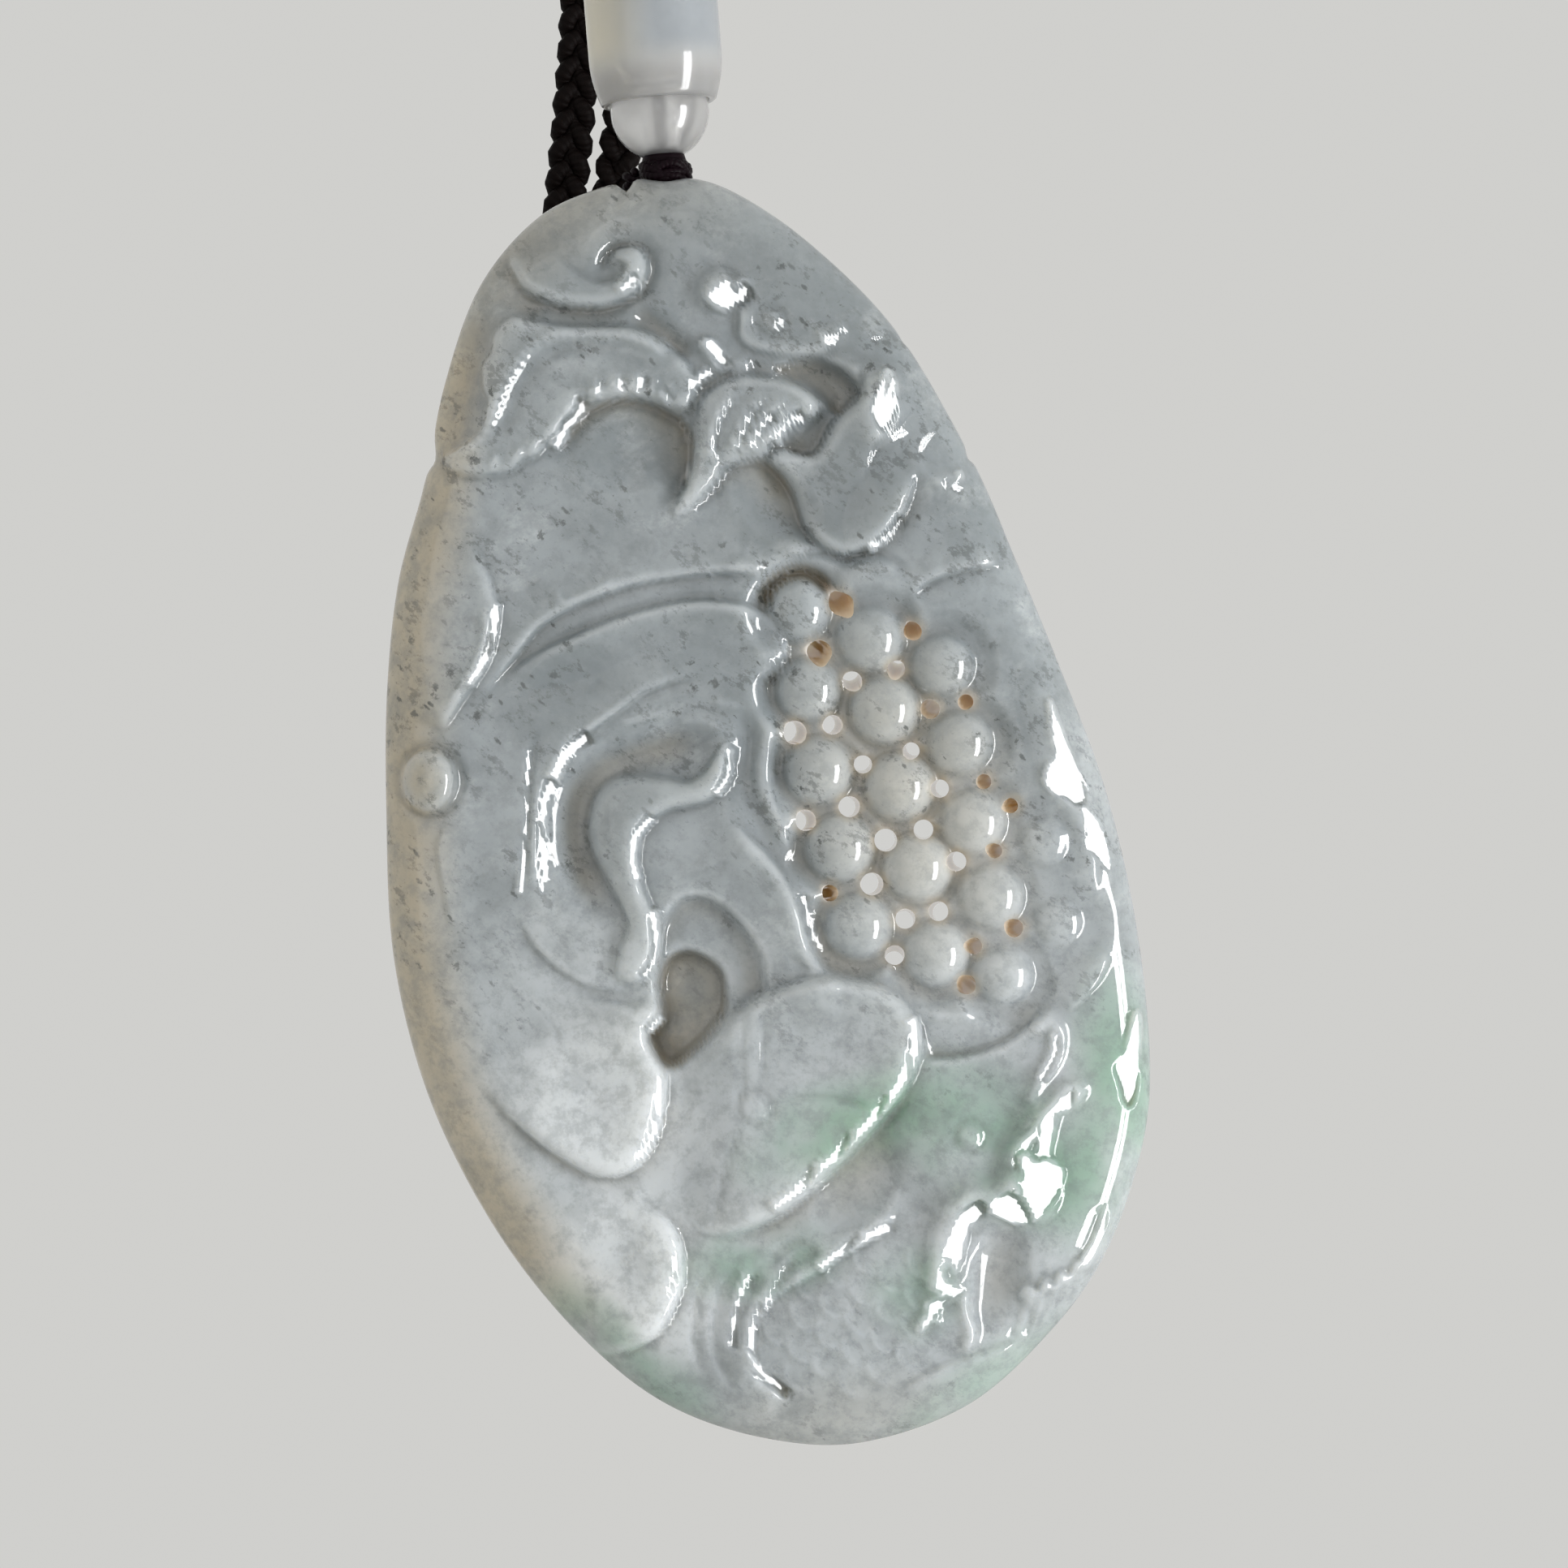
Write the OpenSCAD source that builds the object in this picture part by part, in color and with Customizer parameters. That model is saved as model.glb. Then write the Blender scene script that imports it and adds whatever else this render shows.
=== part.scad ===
// A carved jade pendant on its necklace cord, hanging from the bend of the cord.
// Millimetres. +Z is up, the carved face looks along -Y, and the origin is the
// point that carries the cord.

/* [Stone] */
// Length of the carved stone, top to bottom
stone_len = 85; // [80:1:90]
// Thickness of the stone at its thickest carving
stone_thick = 9.2; // [8.6:0.1:10.2]
// Thickness of the plain side wall between the rounded edges
wall_thick = 2.2; // [1.8:0.1:2.6]
// Turn of the stone on its thread, in degrees
stone_turn = 4.7; // [0:0.1:9]

/* [Beads] */
// Diameter of the round bead
round_bead_d = 6.6; // [6.2:0.1:7]
// Outside diameter of the barrel bead
barrel_d = 8.9; // [8.7:0.1:9.6]
// Length of the barrel bead
barrel_len = 13; // [11:0.5:15]
// Diameter of the barrel bead at its two mouths
barrel_mouth_d = 7.6; // [7.5:0.1:8]
// Length of each end over which the barrel bead narrows
barrel_shoulder = 3.2; // [2:0.1:4]

/* [Cord and thread] */
// Diameter of the braided neck cord
cord_d = 2.7; // [2.3:0.1:2.8]
// Diameter of the thread that carries the stone
thread_d = 1.1; // [0.9:0.1:1.2]
// Outside diameter of the wrapped knot
knot_d = 3.7; // [3.4:0.1:3.9]
// Height of the wrapped knot
knot_h = 1.7; // [1.5:0.1:1.8]

/* [Hidden] */
$fn = 48;

drawn_len = 85;            // the length at which the tables below were laid out
size = stone_len / drawn_len;
top_rise = 2.2;            // rise of the highest form over the ground of the carving
hang_bend = 7;             // radius of the cord's middle line over its support
column_y = -hang_bend;     // the beads and the thread hang under the cord's front run
stone_top_z = -118;        // top of the stone, where the thread goes in
hole_at = [-7.0, 42.05];   // that point in the plane of the carving
back_w = 3.2;              // depth from the thread's middle line to the flat back
fit = 0.1;                 // gap between pieces that touch
room = 0.5;                // how much wider a bore or seat is than what it takes
past = 5;                  // how far a drill reaches out of the stone
seat_depth = 0.5;          // the knot sits this deep in the stone's top edge
thread_hole_d = 2.1;
thread_hole_depth = 6.2;   // where the hole from the top turns towards the back

// Outline of the stone
// across and up in the plane of the carving, round the edge from the top
outline = [
    [-7.0, 42.05], [-3.6, 41.6], [0.5, 39.3], [4.4, 36.1], [7.6, 32.8], [10.2, 29.1],
    [13.8, 22.5], [16.2, 16.9], [19.0, 10.1], [22.2, 1.6], [24.3, -7.6], [25.2, -16.5],
    [24.6, -22.6], [22.2, -29.4], [18.5, -34.6], [13.1, -39.4], [6.0, -41.9], [-0.4, -41.6],
    [-6.6, -39.5], [-11.7, -35.7], [-16.7, -30.0], [-20.7, -23.4], [-23.4, -16.8],
    [-25.1, -9.0], [-25.5, 0], [-25.45, 8.0], [-24.7, 15.2], [-23.0, 21.6], [-21.6, 28.4],
    [-19.3, 34.8], [-15.4, 39.4], [-10.8, 41.5]
];
middle = [0, -1];
curve_steps = 4;

function wrapped(list, i) = list[(i + len(list)) % len(list)];
// A smooth curve through the points: Catmull and Rom's cubic, at share t of the way from b to c
function through(a, b, c, d, t) =
    0.5 * (2 * b + (c - a) * t + (2 * a - 5 * b + 4 * c - d) * t * t + (3 * b - 3 * c + d - a) * t * t * t);
edge_points = [
    for (i = [0 : len(outline) - 1], s = [0 : curve_steps - 1])
        through(wrapped(outline, i - 1), outline[i], wrapped(outline, i + 1),
                wrapped(outline, i + 2), s / curve_steps)
];
// distance of the edge from the middle, looked up by the direction
edge_reach = [
    for (turn = [-360, 0, 360], p = edge_points)
        [atan2(p.y - middle.y, p.x - middle.x) + turn, norm(p - middle)]
];
function reach(direction) = lookup(direction, edge_reach);

// Depths of the carving
rim_share = 0.22;                // back edge of the side wall, as a share of the thickness
rim_w = stone_thick * rim_share;
front_edge_w = rim_w + wall_thick;
ground_w = stone_thick - top_rise;   // the level that the carving starts from
front_round = 5;                 // how far in the front edge is rounded
back_round = 3;                  // how far in the back edge is rounded
gap_pivot_w = stone_thick - 3.2; // the pierced gaps lean about this height, in the seeds' bed
// The share of a form's half width over which it rises or sinks
swell_edge = 0.6;
hollow_edge = 0.5;
bed_edge = 0.35;

// Raised forms: across, up, turn in degrees, half length, half width, rise over the ground
swells = [
    [-12.6, 36.2,   6,  5.2, 2.7, 1.0],   // curled lobe at the top
    [-13.4, 28.3,  26,  9.0, 3.4, 1.3],   // left wing
    [ -2.4, 25.0,  62,  5.6, 2.6, 1.3],   // right wing
    [ -2.0, 34.0, -20,  5.6, 3.6, 1.2],   // head of the winged creature
    [  6.2, 23.4,  80,  6.6, 4.0, 1.3],   // hanging leaf
    [-22.2, 11.5,  84,  6.6, 2.8, 0.6],   // long bud at the left edge
    [-22.4,  2.0,  90,  2.2, 2.0, 0.9],   // pearl
    [ -7.0, 10.6,   8,  8.5, 3.0, 1.1],   // rolled leaf
    [-16.6,  1.0,  82, 10.0, 3.2, 0.9],   // leaf's outer turn
    [ -9.6, -1.4,  60,  5.6, 1.9, 1.3],   // tongue of the leaf
    [-14.5,-18.0, -45, 11.0, 5.2, 1.2],   // lower left leaf
    [-10.5,-30.5, -62,  6.0, 4.2, 0.8],   // smooth leaf tip
    [  2.8,-18.4,  36,  8.6, 6.6, top_rise],   // lotus leaf
    [ 13.0,-22.0, -52,  6.6, 4.4, 1.4],   // head of the carp
    [  5.8,-33.0,  24,  8.0, 4.4, 1.1],   // scaled body of the carp
    [ -2.6,-33.5,  84,  5.4, 2.6, 0.6],   // fan of the fin
    [ 18.4,-29.6,  60,  5.4, 2.4, 0.7]    // right fin
];
// Sunk places, with the same columns and the depth under the ground
hollows = [
    [ -9.4, 24.0,  14,  5.0, 2.5, 1.8],   // under the left wing
    [  3.4, 27.6, -60,  3.6, 2.0, 2.2],   // between wing and leaf
    [  0.0, 19.6, -70,  3.6, 2.0, 1.5],   // under the right wing
    [-19.6, 27.4,  72,  5.4, 1.9, 1.5],   // outside the left wing
    [-13.0,  8.8,  35,  6.2, 0.9, 0.9],   // groove over the rolled leaf
    [-11.8, -2.0,  90,  5.6, 1.2, 1.6],   // inside the leaf's turn
    [ -4.8,-12.6,  90,  4.6, 2.4, 3.0],   // deep pocket in the middle
    [ -2.6, -8.6, -52,  4.6, 1.4, 1.3],   // arch over the pocket
    [  6.2,-24.6,  58,  3.6, 1.8, 1.6],   // under the lotus leaf
    [ 14.0,-14.6,  12,  4.4, 1.2, 1.4],   // under the cob
    [ 14.8,-31.2,  74,  3.8, 1.6, 1.0]    // between body and fin
];
// Bed of the cob: a sunk strip, across, up, turn, half length, half width, depth
cob_bed = [9.4, 1.6, -63, 14.6, 7.6, 2.6];
// Round seeds of the cob: across, up, radius, height of the top over the bed's floor
seeds = [
    [ 1.9, 13.2, 2.2, 3.1], [ 2.5,  8.0, 2.15, 3.4], [ 3.2,  2.7, 2.4, 3.5], [ 4.6, -2.4, 2.4, 3.5],
    [ 5.8, -7.6, 2.4, 3.3],
    [ 6.6, 11.4, 2.4, 3.6], [ 7.5,  6.7, 2.35, 3.9], [ 8.5,  1.6, 2.35, 3.9], [ 9.7, -3.7, 2.35, 3.9],
    [10.9, -9.4, 2.3, 3.5],
    [11.4,  9.6, 2.35, 3.5], [12.5,  4.5, 2.4, 3.7], [13.4, -0.7, 2.4, 3.7], [14.6, -5.6, 2.4, 3.6],
    [15.4,-10.8, 2.3, 3.3],
    [18.1, -2.0, 2.3, 3.1], [19.0, -7.3, 2.4, 3.05]
];
// Pierced gaps between the seeds: across, up, radius, lean across and lean up in degrees
gaps = [
    [ 4.6, 13.8, 0.80,  -8, 22], [ 3.2, 10.5, 0.80, -12, 14], [ 5.4,  8.6, 0.65,   0,  8],
    [ 8.3,  9.4, 0.60,   5, 10], [ 9.4, 12.0, 0.60,   6, 20], [10.6,  6.8, 0.65,  14,  8],
    [13.0,  7.3, 0.50,  18,  8], [ 1.6,  5.2, 0.78,  -6,  3], [ 4.1,  5.7, 0.65,  -4,  2],
    [ 6.1,  3.1, 0.60,   0,  2], [ 9.3,  4.0, 0.55,   4,  2], [11.2,  1.5, 0.60,   5,  0],
    [14.2,  2.0, 0.50,  17,  2], [16.0,  0.4, 0.50,  20,  0], [ 5.2,  0.3, 0.70,  -2,  0],
    [ 2.3, -0.6, 0.70,  -6,  0], [ 7.6, -1.9, 0.75,   0,  0], [10.1, -1.2, 0.65,   2,  0],
    [12.3, -3.3, 0.65,   6,  0], [14.9, -2.6, 0.50,  16, -3], [ 6.7, -4.8, 0.75,  -2,  0],
    [ 3.9, -5.4, 0.55, -12,  0], [ 8.9, -7.1, 0.65,   0, -3], [11.1, -6.6, 0.65,   4, -3],
    [16.2, -7.7, 0.60,  17, -4], [13.5, -8.9, 0.55,  14, -8], [ 8.2, -9.5, 0.65,   0, -6],
    [13.0,-11.5, 0.65,  10,-14]
];

// A quarter circle's rise from 0 at the edge to 1 at share 1
function shoulder(share) = let (s = min(max(share, 0), 1)) sqrt(1 - (1 - s) * (1 - s));
// How deep p lies in a turned ellipse: 1 in its middle, 0 on its edge
function within(p, form) =
    let (dx = p.x - form[0], dy = p.y - form[1],
         along = dx * cos(form[2]) + dy * sin(form[2]),
         beside = dy * cos(form[2]) - dx * sin(form[2]))
    max(0, 1 - sqrt(pow(along / form[3], 2) + pow(beside / form[4], 2)));
function seed_w(p, s) =
    let (away = norm([p.x - s[0], p.y - s[1]]), floor_w = ground_w - cob_bed[5])
    away >= s[2] ? 0 : floor_w + s[3] - s[2] + sqrt(s[2] * s[2] - away * away);
// Height of the carved face over the flat back, inset from the edge
function face_w(p, inset) =
    let (swell = max([for (f = swells) f[5] * shoulder(within(p, f) / swell_edge)]),
         sink = max([for (f = hollows) f[5] * shoulder(within(p, f) / hollow_edge)]),
         in_bed = shoulder(within(p, cob_bed) / bed_edge),
         seed = max([for (s = seeds) seed_w(p, s)]),
         carved = max(ground_w + swell * (1 - in_bed) - max(sink, cob_bed[5] * in_bed), seed))
    front_edge_w + (carved - front_edge_w) * shoulder(inset / front_round);

// Mesh of the stone
cells = 58;
gap_sides = 20;
ring_count = 4 * cells;
back_rings = [[0, rim_w], [0.45, rim_w * 0.5], [1.3, rim_w * 0.16], [back_round, 0]];

// Across, up and height, turned and put in its place under the thread
function placed(p, w) =
    let (d = (p - hole_at) * size)
    [d.x * cos(stone_turn) + d.y * sin(stone_turn),
     column_y + back_w - w,
     stone_top_z + d.y * cos(stone_turn) - d.x * sin(stone_turn)];
// A square's grid point bent onto a round plate of radius 1
function bent(i, j) =
    let (a = 2 * i / cells - 1, b = 2 * j / cells - 1)
    [a * sqrt(1 - b * b / 2), b * sqrt(1 - a * a / 2)];
function front_point(i, j) =
    let (q = bent(i, j), out = norm(q), r = reach(atan2(q.y, q.x)), p = middle + q * r)
    placed(p, face_w(p, (1 - out) * r));
// Grid places round the edge, in order
rim_cells = concat(
    [for (i = [0 : cells - 1]) [i, 0]], [for (j = [0 : cells - 1]) [cells, j]],
    [for (i = [cells : -1 : 1]) [i, cells]], [for (j = [cells : -1 : 1]) [0, j]]
);
function back_point(cell, inset, w) =
    let (q = bent(cell[0], cell[1]), r = reach(atan2(q.y, q.x)))
    placed(middle + q * (r - inset), w);
function grid_id(i, j) = i * (cells + 1) + j;
function rim_id(k) = let (c = rim_cells[k % ring_count]) grid_id(c[0], c[1]);
function ring_id(ring, k) = (cells + 1) * (cells + 1) + ring * ring_count + k % ring_count;

module carved_plate() {
    points = concat(
        [for (i = [0 : cells], j = [0 : cells]) front_point(i, j)],
        [for (ring = back_rings, cell = rim_cells) back_point(cell, ring[0], ring[1])]
    );
    last = len(back_rings) - 1;
    faces = concat(
        [for (i = [0 : cells - 1], j = [0 : cells - 1], half = [0, 1])
            half == 0 ? [grid_id(i, j), grid_id(i, j + 1), grid_id(i + 1, j + 1)]
                      : [grid_id(i, j), grid_id(i + 1, j + 1), grid_id(i + 1, j)]],
        [for (k = [0 : ring_count - 1], half = [0, 1])
            half == 0 ? [rim_id(k), rim_id(k + 1), ring_id(0, k + 1)]
                      : [rim_id(k), ring_id(0, k + 1), ring_id(0, k)]],
        [for (ring = [0 : last - 1], k = [0 : ring_count - 1], half = [0, 1])
            half == 0 ? [ring_id(ring, k), ring_id(ring, k + 1), ring_id(ring + 1, k + 1)]
                      : [ring_id(ring, k), ring_id(ring + 1, k + 1), ring_id(ring + 1, k)]],
        [[for (k = [0 : ring_count - 1]) ring_id(last, k)]]
    );
    polyhedron(points, faces);
}

module pierced_gap(g) {
    at = placed([g[0], g[1]], gap_pivot_w);
    translate(at)
        rotate([0, -stone_turn, 0])
            rotate([g[4], 0, -g[3]])
                rotate([90, 0, 0])
                    cylinder(r = g[2], h = 3 * stone_thick, center = true, $fn = gap_sides);
}

module thread_hole() {
    translate([0, column_y, stone_top_z - thread_hole_depth - thread_hole_d / 2])
        cylinder(d = thread_hole_d, h = thread_hole_depth + thread_hole_d / 2 + past);
    translate([0, column_y, stone_top_z - thread_hole_depth])
        rotate([-90, 0, 0])
            cylinder(d = thread_hole_d, h = back_w + past);
}

module knot_seat() {
    translate([0, column_y, stone_top_z - seat_depth])
        cylinder(d = knot_d + room, h = past);
}

module jade_stone() {
    color([0.63, 0.67, 0.68])
        difference() {
            carved_plate();
            for (g = gaps) pierced_gap(g);
            thread_hole();
            knot_seat();
        }
}

// Beads and knot
knot_z = stone_top_z - seat_depth + fit;
knot_round = knot_h / 2;
knot_ring_r = knot_d / 2 - knot_round;
round_bead_r = round_bead_d / 2;
round_bead_z = knot_z + knot_round + fit
    + sqrt(pow(round_bead_r + knot_round, 2) - pow(knot_ring_r, 2));
barrel_bore = 2 * cord_d + room;
bead_shows = 0.5;          // the barrel's cup ends this far above the middle of the round bead
barrel_z = round_bead_z + bead_shows;
bead_bore = thread_d + room;
knot_flat = 0.8;           // share of the knot's height that its flat middle fills

module wrapped_knot() {
    color([0.10, 0.06, 0.09])
        translate([0, column_y, knot_z])
            difference() {
                rotate_extrude()
                    union() {
                        translate([knot_ring_r, knot_round]) circle(r = knot_round);
                        translate([0, knot_h * (1 - knot_flat) / 2]) square([knot_ring_r, knot_h * knot_flat]);
                    }
                translate([0, 0, -1])
                    cylinder(d = bead_bore, h = knot_h + 2);
            }
}

module round_bead() {
    color([0.86, 0.87, 0.86])
        translate([0, column_y, round_bead_z])
            difference() {
                sphere(d = round_bead_d);
                cylinder(d = bead_bore, h = round_bead_d + 2, center = true);
            }
}

// The barrel's radius at a distance from its nearer end: it narrows along a parabola
function barrel_r(from_end) =
    barrel_d / 2 - (barrel_d - barrel_mouth_d) / 2 * pow(max(0, 1 - from_end / barrel_shoulder), 2);

shoulder_steps = 6;
module barrel_bead() {
    shoulder_points = [for (i = [0 : shoulder_steps])
        let (z = barrel_shoulder * i / shoulder_steps) [barrel_r(z), z]];
    profile = concat(
        [[0, 0]], shoulder_points,
        [for (i = [shoulder_steps : -1 : 0]) [shoulder_points[i].x, barrel_len - shoulder_points[i].y]],
        [[0, barrel_len]]
    );
    color([0.80, 0.82, 0.83])
        translate([0, column_y, barrel_z])
            difference() {
                rotate_extrude() polygon(profile);
                translate([0, 0, -1])
                    cylinder(d = barrel_bore, h = barrel_len + 2);
                // the cup that holds the round bead
                translate([0, 0, -bead_shows])
                    sphere(r = round_bead_r + fit);
            }
}

// Cord and thread
tube_share = 0.97;   // the cord's tube is this share of the braid's greatest width
tube_sides = 8;
wall_gap = 0.02;     // the cord's two runs lie side by side in the barrel, this far off its wall
cord_x = barrel_bore / 4 - wall_gap;
end_gap = 0.4;       // the cord's ends stop this far over the round bead
cord_end_z = round_bead_z + round_bead_r + end_gap;
thread_top_z = cord_end_z - 0.3;

// Middle line of the neck cord from one end in the barrel, over the support, down behind
// the stone, round its lower end and back: across, depth, up
cord_route = [
    [-cord_x, -7, cord_end_z], [-cord_x, -7, -104], [-cord_x, -7, -97], [-1.8, -7, -85],
    [-2, -7, -65], [-2, -7, -45], [-2, -7, -25], [-1.9, -7, -12], [-1.9, -7, -5.6],
    [-1.9, -6.1, -2.2], [-1.9, -3.5, 0.4], [-1.9, 0, 1.4], [-1.9, 3.5, 0.4], [-1.9, 6.1, -2.2],
    [-1.9, 7, -5.6], [-2, 7, -14], [-2.2, 7, -32], [-2.5, 7, -52], [-3, 7, -72],
    [-3.8, 7, -90], [-5, 7, -103], [-6.2, 7, -111], [-7.1, 7, -116], [-8.1, 7, -122],
    [-9.4, 7, -134], [-10, 7, -150], [-10, 7, -168], [-9.9, 7, -180],
    [-9.9, 7, -186.6], [-9.1, 7, -189.6], [-6.9, 7, -191.8], [-3.9, 7, -192.6],
    [-0.9, 7, -191.8], [1.3, 7, -189.6], [2.1, 7, -186.6], [2.1, 7, -180],
    [1.4, 7, -168], [-0.6, 7, -150], [-3, 7, -134], [-4.6, 7, -122],
    [-3.7, 7, -116], [-2.6, 7, -111], [-1.4, 7, -103], [-0.4, 7, -90], [0.4, 7, -72],
    [1, 7, -52], [1.5, 7, -32], [1.8, 7, -14], [1.9, 7, -5.6],
    [1.9, 6.1, -2.2], [1.9, 3.5, 0.4], [1.9, 0, 1.4], [1.9, -3.5, 0.4], [1.9, -6.1, -2.2],
    [1.9, -7, -5.6], [1.9, -7, -12], [2, -7, -25], [2, -7, -45], [2, -7, -65],
    [1.8, -7, -85], [cord_x, -7, -97], [cord_x, -7, -104], [cord_x, -7, cord_end_z]
];
// Middle line of the thread: down through the bead and the stone, out at the back, up over the
// stone's top edge and to the left side of the knot
thread_route = [
    [0, -7, thread_top_z], [0, -7, -118], [0, -7, -122.2], [0, -6.6, -123.7],
    [0, -5.2, -124.2], [0, -4.2, -124.2], [0, -3.3, -123.8], [-0.1, -3.1, -123],
    [-0.9, -3.1, -121.2], [-1.9, -3.3, -119.6], [-2.4, -4.1, -118.2], [-2.4, -5.2, -117.4],
    [-1.85, -6, -117.4]
];

function unit(v) = v / norm(v);
function held(list, i) = list[min(max(i, 0), len(list) - 1)];
function heading(line, i) = unit(held(line, i + 1) - held(line, i - 1));
// A side direction carried along the line without twist
function carried(side, way) = unit(side - (side * way) * way);
function sides_along(line) = [
    for (i = 0, s = carried([0, 1, 0.001], heading(line, 0));
         i < len(line);
         i = i + 1, s = carried(s, heading(line, min(i, len(line) - 1)))) s
];

module tube(line, d, corners) {
    sides = sides_along(line);
    last = len(line) - 1;
    // corners of the ring lie a little out, so that the flat sides keep the tube's volume
    r = d / 2 * (1 + 1 / (corners * corners));
    points = [
        for (i = [0 : last], k = [0 : corners - 1])
            let (way = heading(line, i), turn = 360 * k / corners)
            line[i] + r * (cos(turn) * sides[i] + sin(turn) * cross(way, sides[i]))
    ];
    faces = concat(
        [[for (k = [0 : corners - 1]) k]],
        [[for (k = [corners - 1 : -1 : 0]) last * corners + k]],
        [for (i = [0 : last - 1], k = [0 : corners - 1], half = [0, 1])
            let (a = i * corners + k, b = i * corners + (k + 1) % corners)
            half == 0 ? [a, a + corners, b + corners] : [a, b + corners, b]]
    );
    polyhedron(points, faces);
}

module neck_cord() {
    color([0.08, 0.05, 0.05])
        tube(cord_route, cord_d * tube_share, tube_sides);
}

module hanging_thread() {
    color([0.10, 0.06, 0.09])
        tube(thread_route, thread_d, tube_sides);
}

jade_stone();
wrapped_knot();
round_bead();
barrel_bead();
hanging_thread();
neck_cord();
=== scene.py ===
"""Dresses a carved jade pendant that hangs from its braided neck cord.

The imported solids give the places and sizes. This script adds the finely carved and pierced stone, its beads,
the wound knot, the twisted thread and the plaited cord, with their materials, and a plain stage.
"""

import math

import bpy
import numpy as np
from bpy.props import FloatProperty, FloatVectorProperty, IntProperty, PointerProperty
from bpy.types import Operator, Panel, PropertyGroup
from mathutils import Matrix, Vector


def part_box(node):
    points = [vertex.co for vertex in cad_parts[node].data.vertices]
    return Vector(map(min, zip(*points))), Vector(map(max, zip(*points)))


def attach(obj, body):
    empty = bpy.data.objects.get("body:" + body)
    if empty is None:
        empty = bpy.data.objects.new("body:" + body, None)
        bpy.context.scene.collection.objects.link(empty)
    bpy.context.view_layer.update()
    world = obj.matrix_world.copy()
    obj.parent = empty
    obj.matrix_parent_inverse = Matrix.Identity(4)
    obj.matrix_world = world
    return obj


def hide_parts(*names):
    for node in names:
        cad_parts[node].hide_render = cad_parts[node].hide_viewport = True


bl_info = {
    "name": "Carved jade pendant",
    "version": (1, 0, 0),
    "blender": (4, 5, 0),
    "location": "View3D > Sidebar > Pendant",
    "description": "Carves a jade pendant and adds its beads, knot, thread, plaited cord and stage",
    "category": "Add Mesh",
}

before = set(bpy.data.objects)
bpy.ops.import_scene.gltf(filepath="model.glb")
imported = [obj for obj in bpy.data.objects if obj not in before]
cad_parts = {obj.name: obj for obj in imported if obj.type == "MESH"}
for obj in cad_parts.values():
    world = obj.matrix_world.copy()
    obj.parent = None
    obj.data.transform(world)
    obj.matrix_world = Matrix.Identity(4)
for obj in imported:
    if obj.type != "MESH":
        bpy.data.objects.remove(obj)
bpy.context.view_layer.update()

MM = 0.001
PHOTO_SIDE = 1932            # pixels, both ways
PHOTO_MIDDLE = (0.9, 1.8)    # the photo's middle in the plane of the carving, mm across and up
PHOTO_PX_PER_MM = 18.5
WINDOW_PLACE = (0.328, -0.204, -0.104)   # metres from the middle of the picture
PANE_AWAY = (0.028, 0.088)               # half the distance of the window's panes across and up, metres
PANE_SIZE = (0.048, 0.166)
FRONT_LIGHT_PLACE = (-0.25, -0.55, 0.25)
FRONT_LIGHT_SIZE = (0.6, 0.6)
FLOOR_HALF = 600.0                       # mm
FLOOR_Z = -450.0                         # mm, low enough to hide none of the panes from the lower facets

# The plane of the carving: across and up in mm as the photo shows them. It is turned by STONE_TURN
# about the drilled hole, which puts the bead column upright.
HOLE_AT = (-7.0, 42.05)
STONE_TURN = math.radians(4.7)
STONE_TOP_Z = -118.0
STONE_LOW, STONE_HIGH = (np.array(corner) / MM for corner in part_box("jade_stone"))
BACK_Y = STONE_HIGH[1]
STONE_THICK = STONE_HIGH[1] - STONE_LOW[1]
BEAD_LOW, BEAD_HIGH = (np.array(corner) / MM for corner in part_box("round_bead"))
BARREL_LOW, BARREL_HIGH = (np.array(corner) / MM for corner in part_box("barrel_bead"))
KNOT_LOW, KNOT_HIGH = (np.array(corner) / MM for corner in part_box("wrapped_knot"))
COLUMN_Y = (BEAD_LOW[1] + BEAD_HIGH[1]) / 2
BEAD_Z = (BEAD_LOW[2] + BEAD_HIGH[2]) / 2

# Heights over the flat back, mm
TOP_RISE = 2.2
GROUND_W = STONE_THICK - TOP_RISE
RIM_W = STONE_THICK * 0.22
FRONT_EDGE_W = RIM_W + 2.2
FRONT_ROUND = 5.0
BACK_ROUND = 3.0
GAP_PIVOT_W = STONE_THICK - 3.2
EDGE_SHARE = 0.8             # how much of the edge widths below the polish leaves round
SOFTNESS = 0.11              # spread of the bell that softens the carving, mm

# Outline of the stone, across and up, round the edge from the top
OUTLINE = (
    (-7.0, 42.05), (-3.6, 41.6), (0.5, 39.3), (4.4, 36.1), (7.6, 32.8), (10.2, 29.1),
    (13.8, 22.5), (16.2, 16.9), (19.0, 10.1), (22.2, 1.6), (24.3, -7.6), (25.2, -16.5),
    (24.6, -22.6), (22.2, -29.4), (18.5, -34.6), (13.1, -39.4), (6.0, -41.9), (-0.4, -41.6),
    (-6.6, -39.5), (-11.7, -35.7), (-16.7, -30.0), (-20.7, -23.4), (-23.4, -16.8),
    (-25.1, -9.0), (-25.5, 0), (-25.45, 8.0), (-24.7, 15.2), (-23.0, 21.6), (-21.6, 28.4),
    (-19.3, 34.8), (-15.4, 39.4), (-10.8, 41.5),
)
MIDDLE = np.array((0.0, -1.0))
NICK_REACH = 0.6             # how far in from the edge a nick in it is felt, mm
SLOPE_STEP = 0.17            # half the distance over which the carving's slope is taken, mm
PLANE_STEP = 0.05            # the same on polished planes
ON_FACE = 0.05               # how near the carving's height a point of the mesh is on the face, mm
MESH_SHADED = 1.0            # width along the edge that is shaded from the mesh alone, mm
GRID_BORDER = 0.9            # width between the face's grid and the stone's edge, mm
EDGE_RINGS = (0.68, 0.48, 0.31, 0.18, 0.08, 0.02)   # how far in the rings of points round the grid lie, mm
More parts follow.
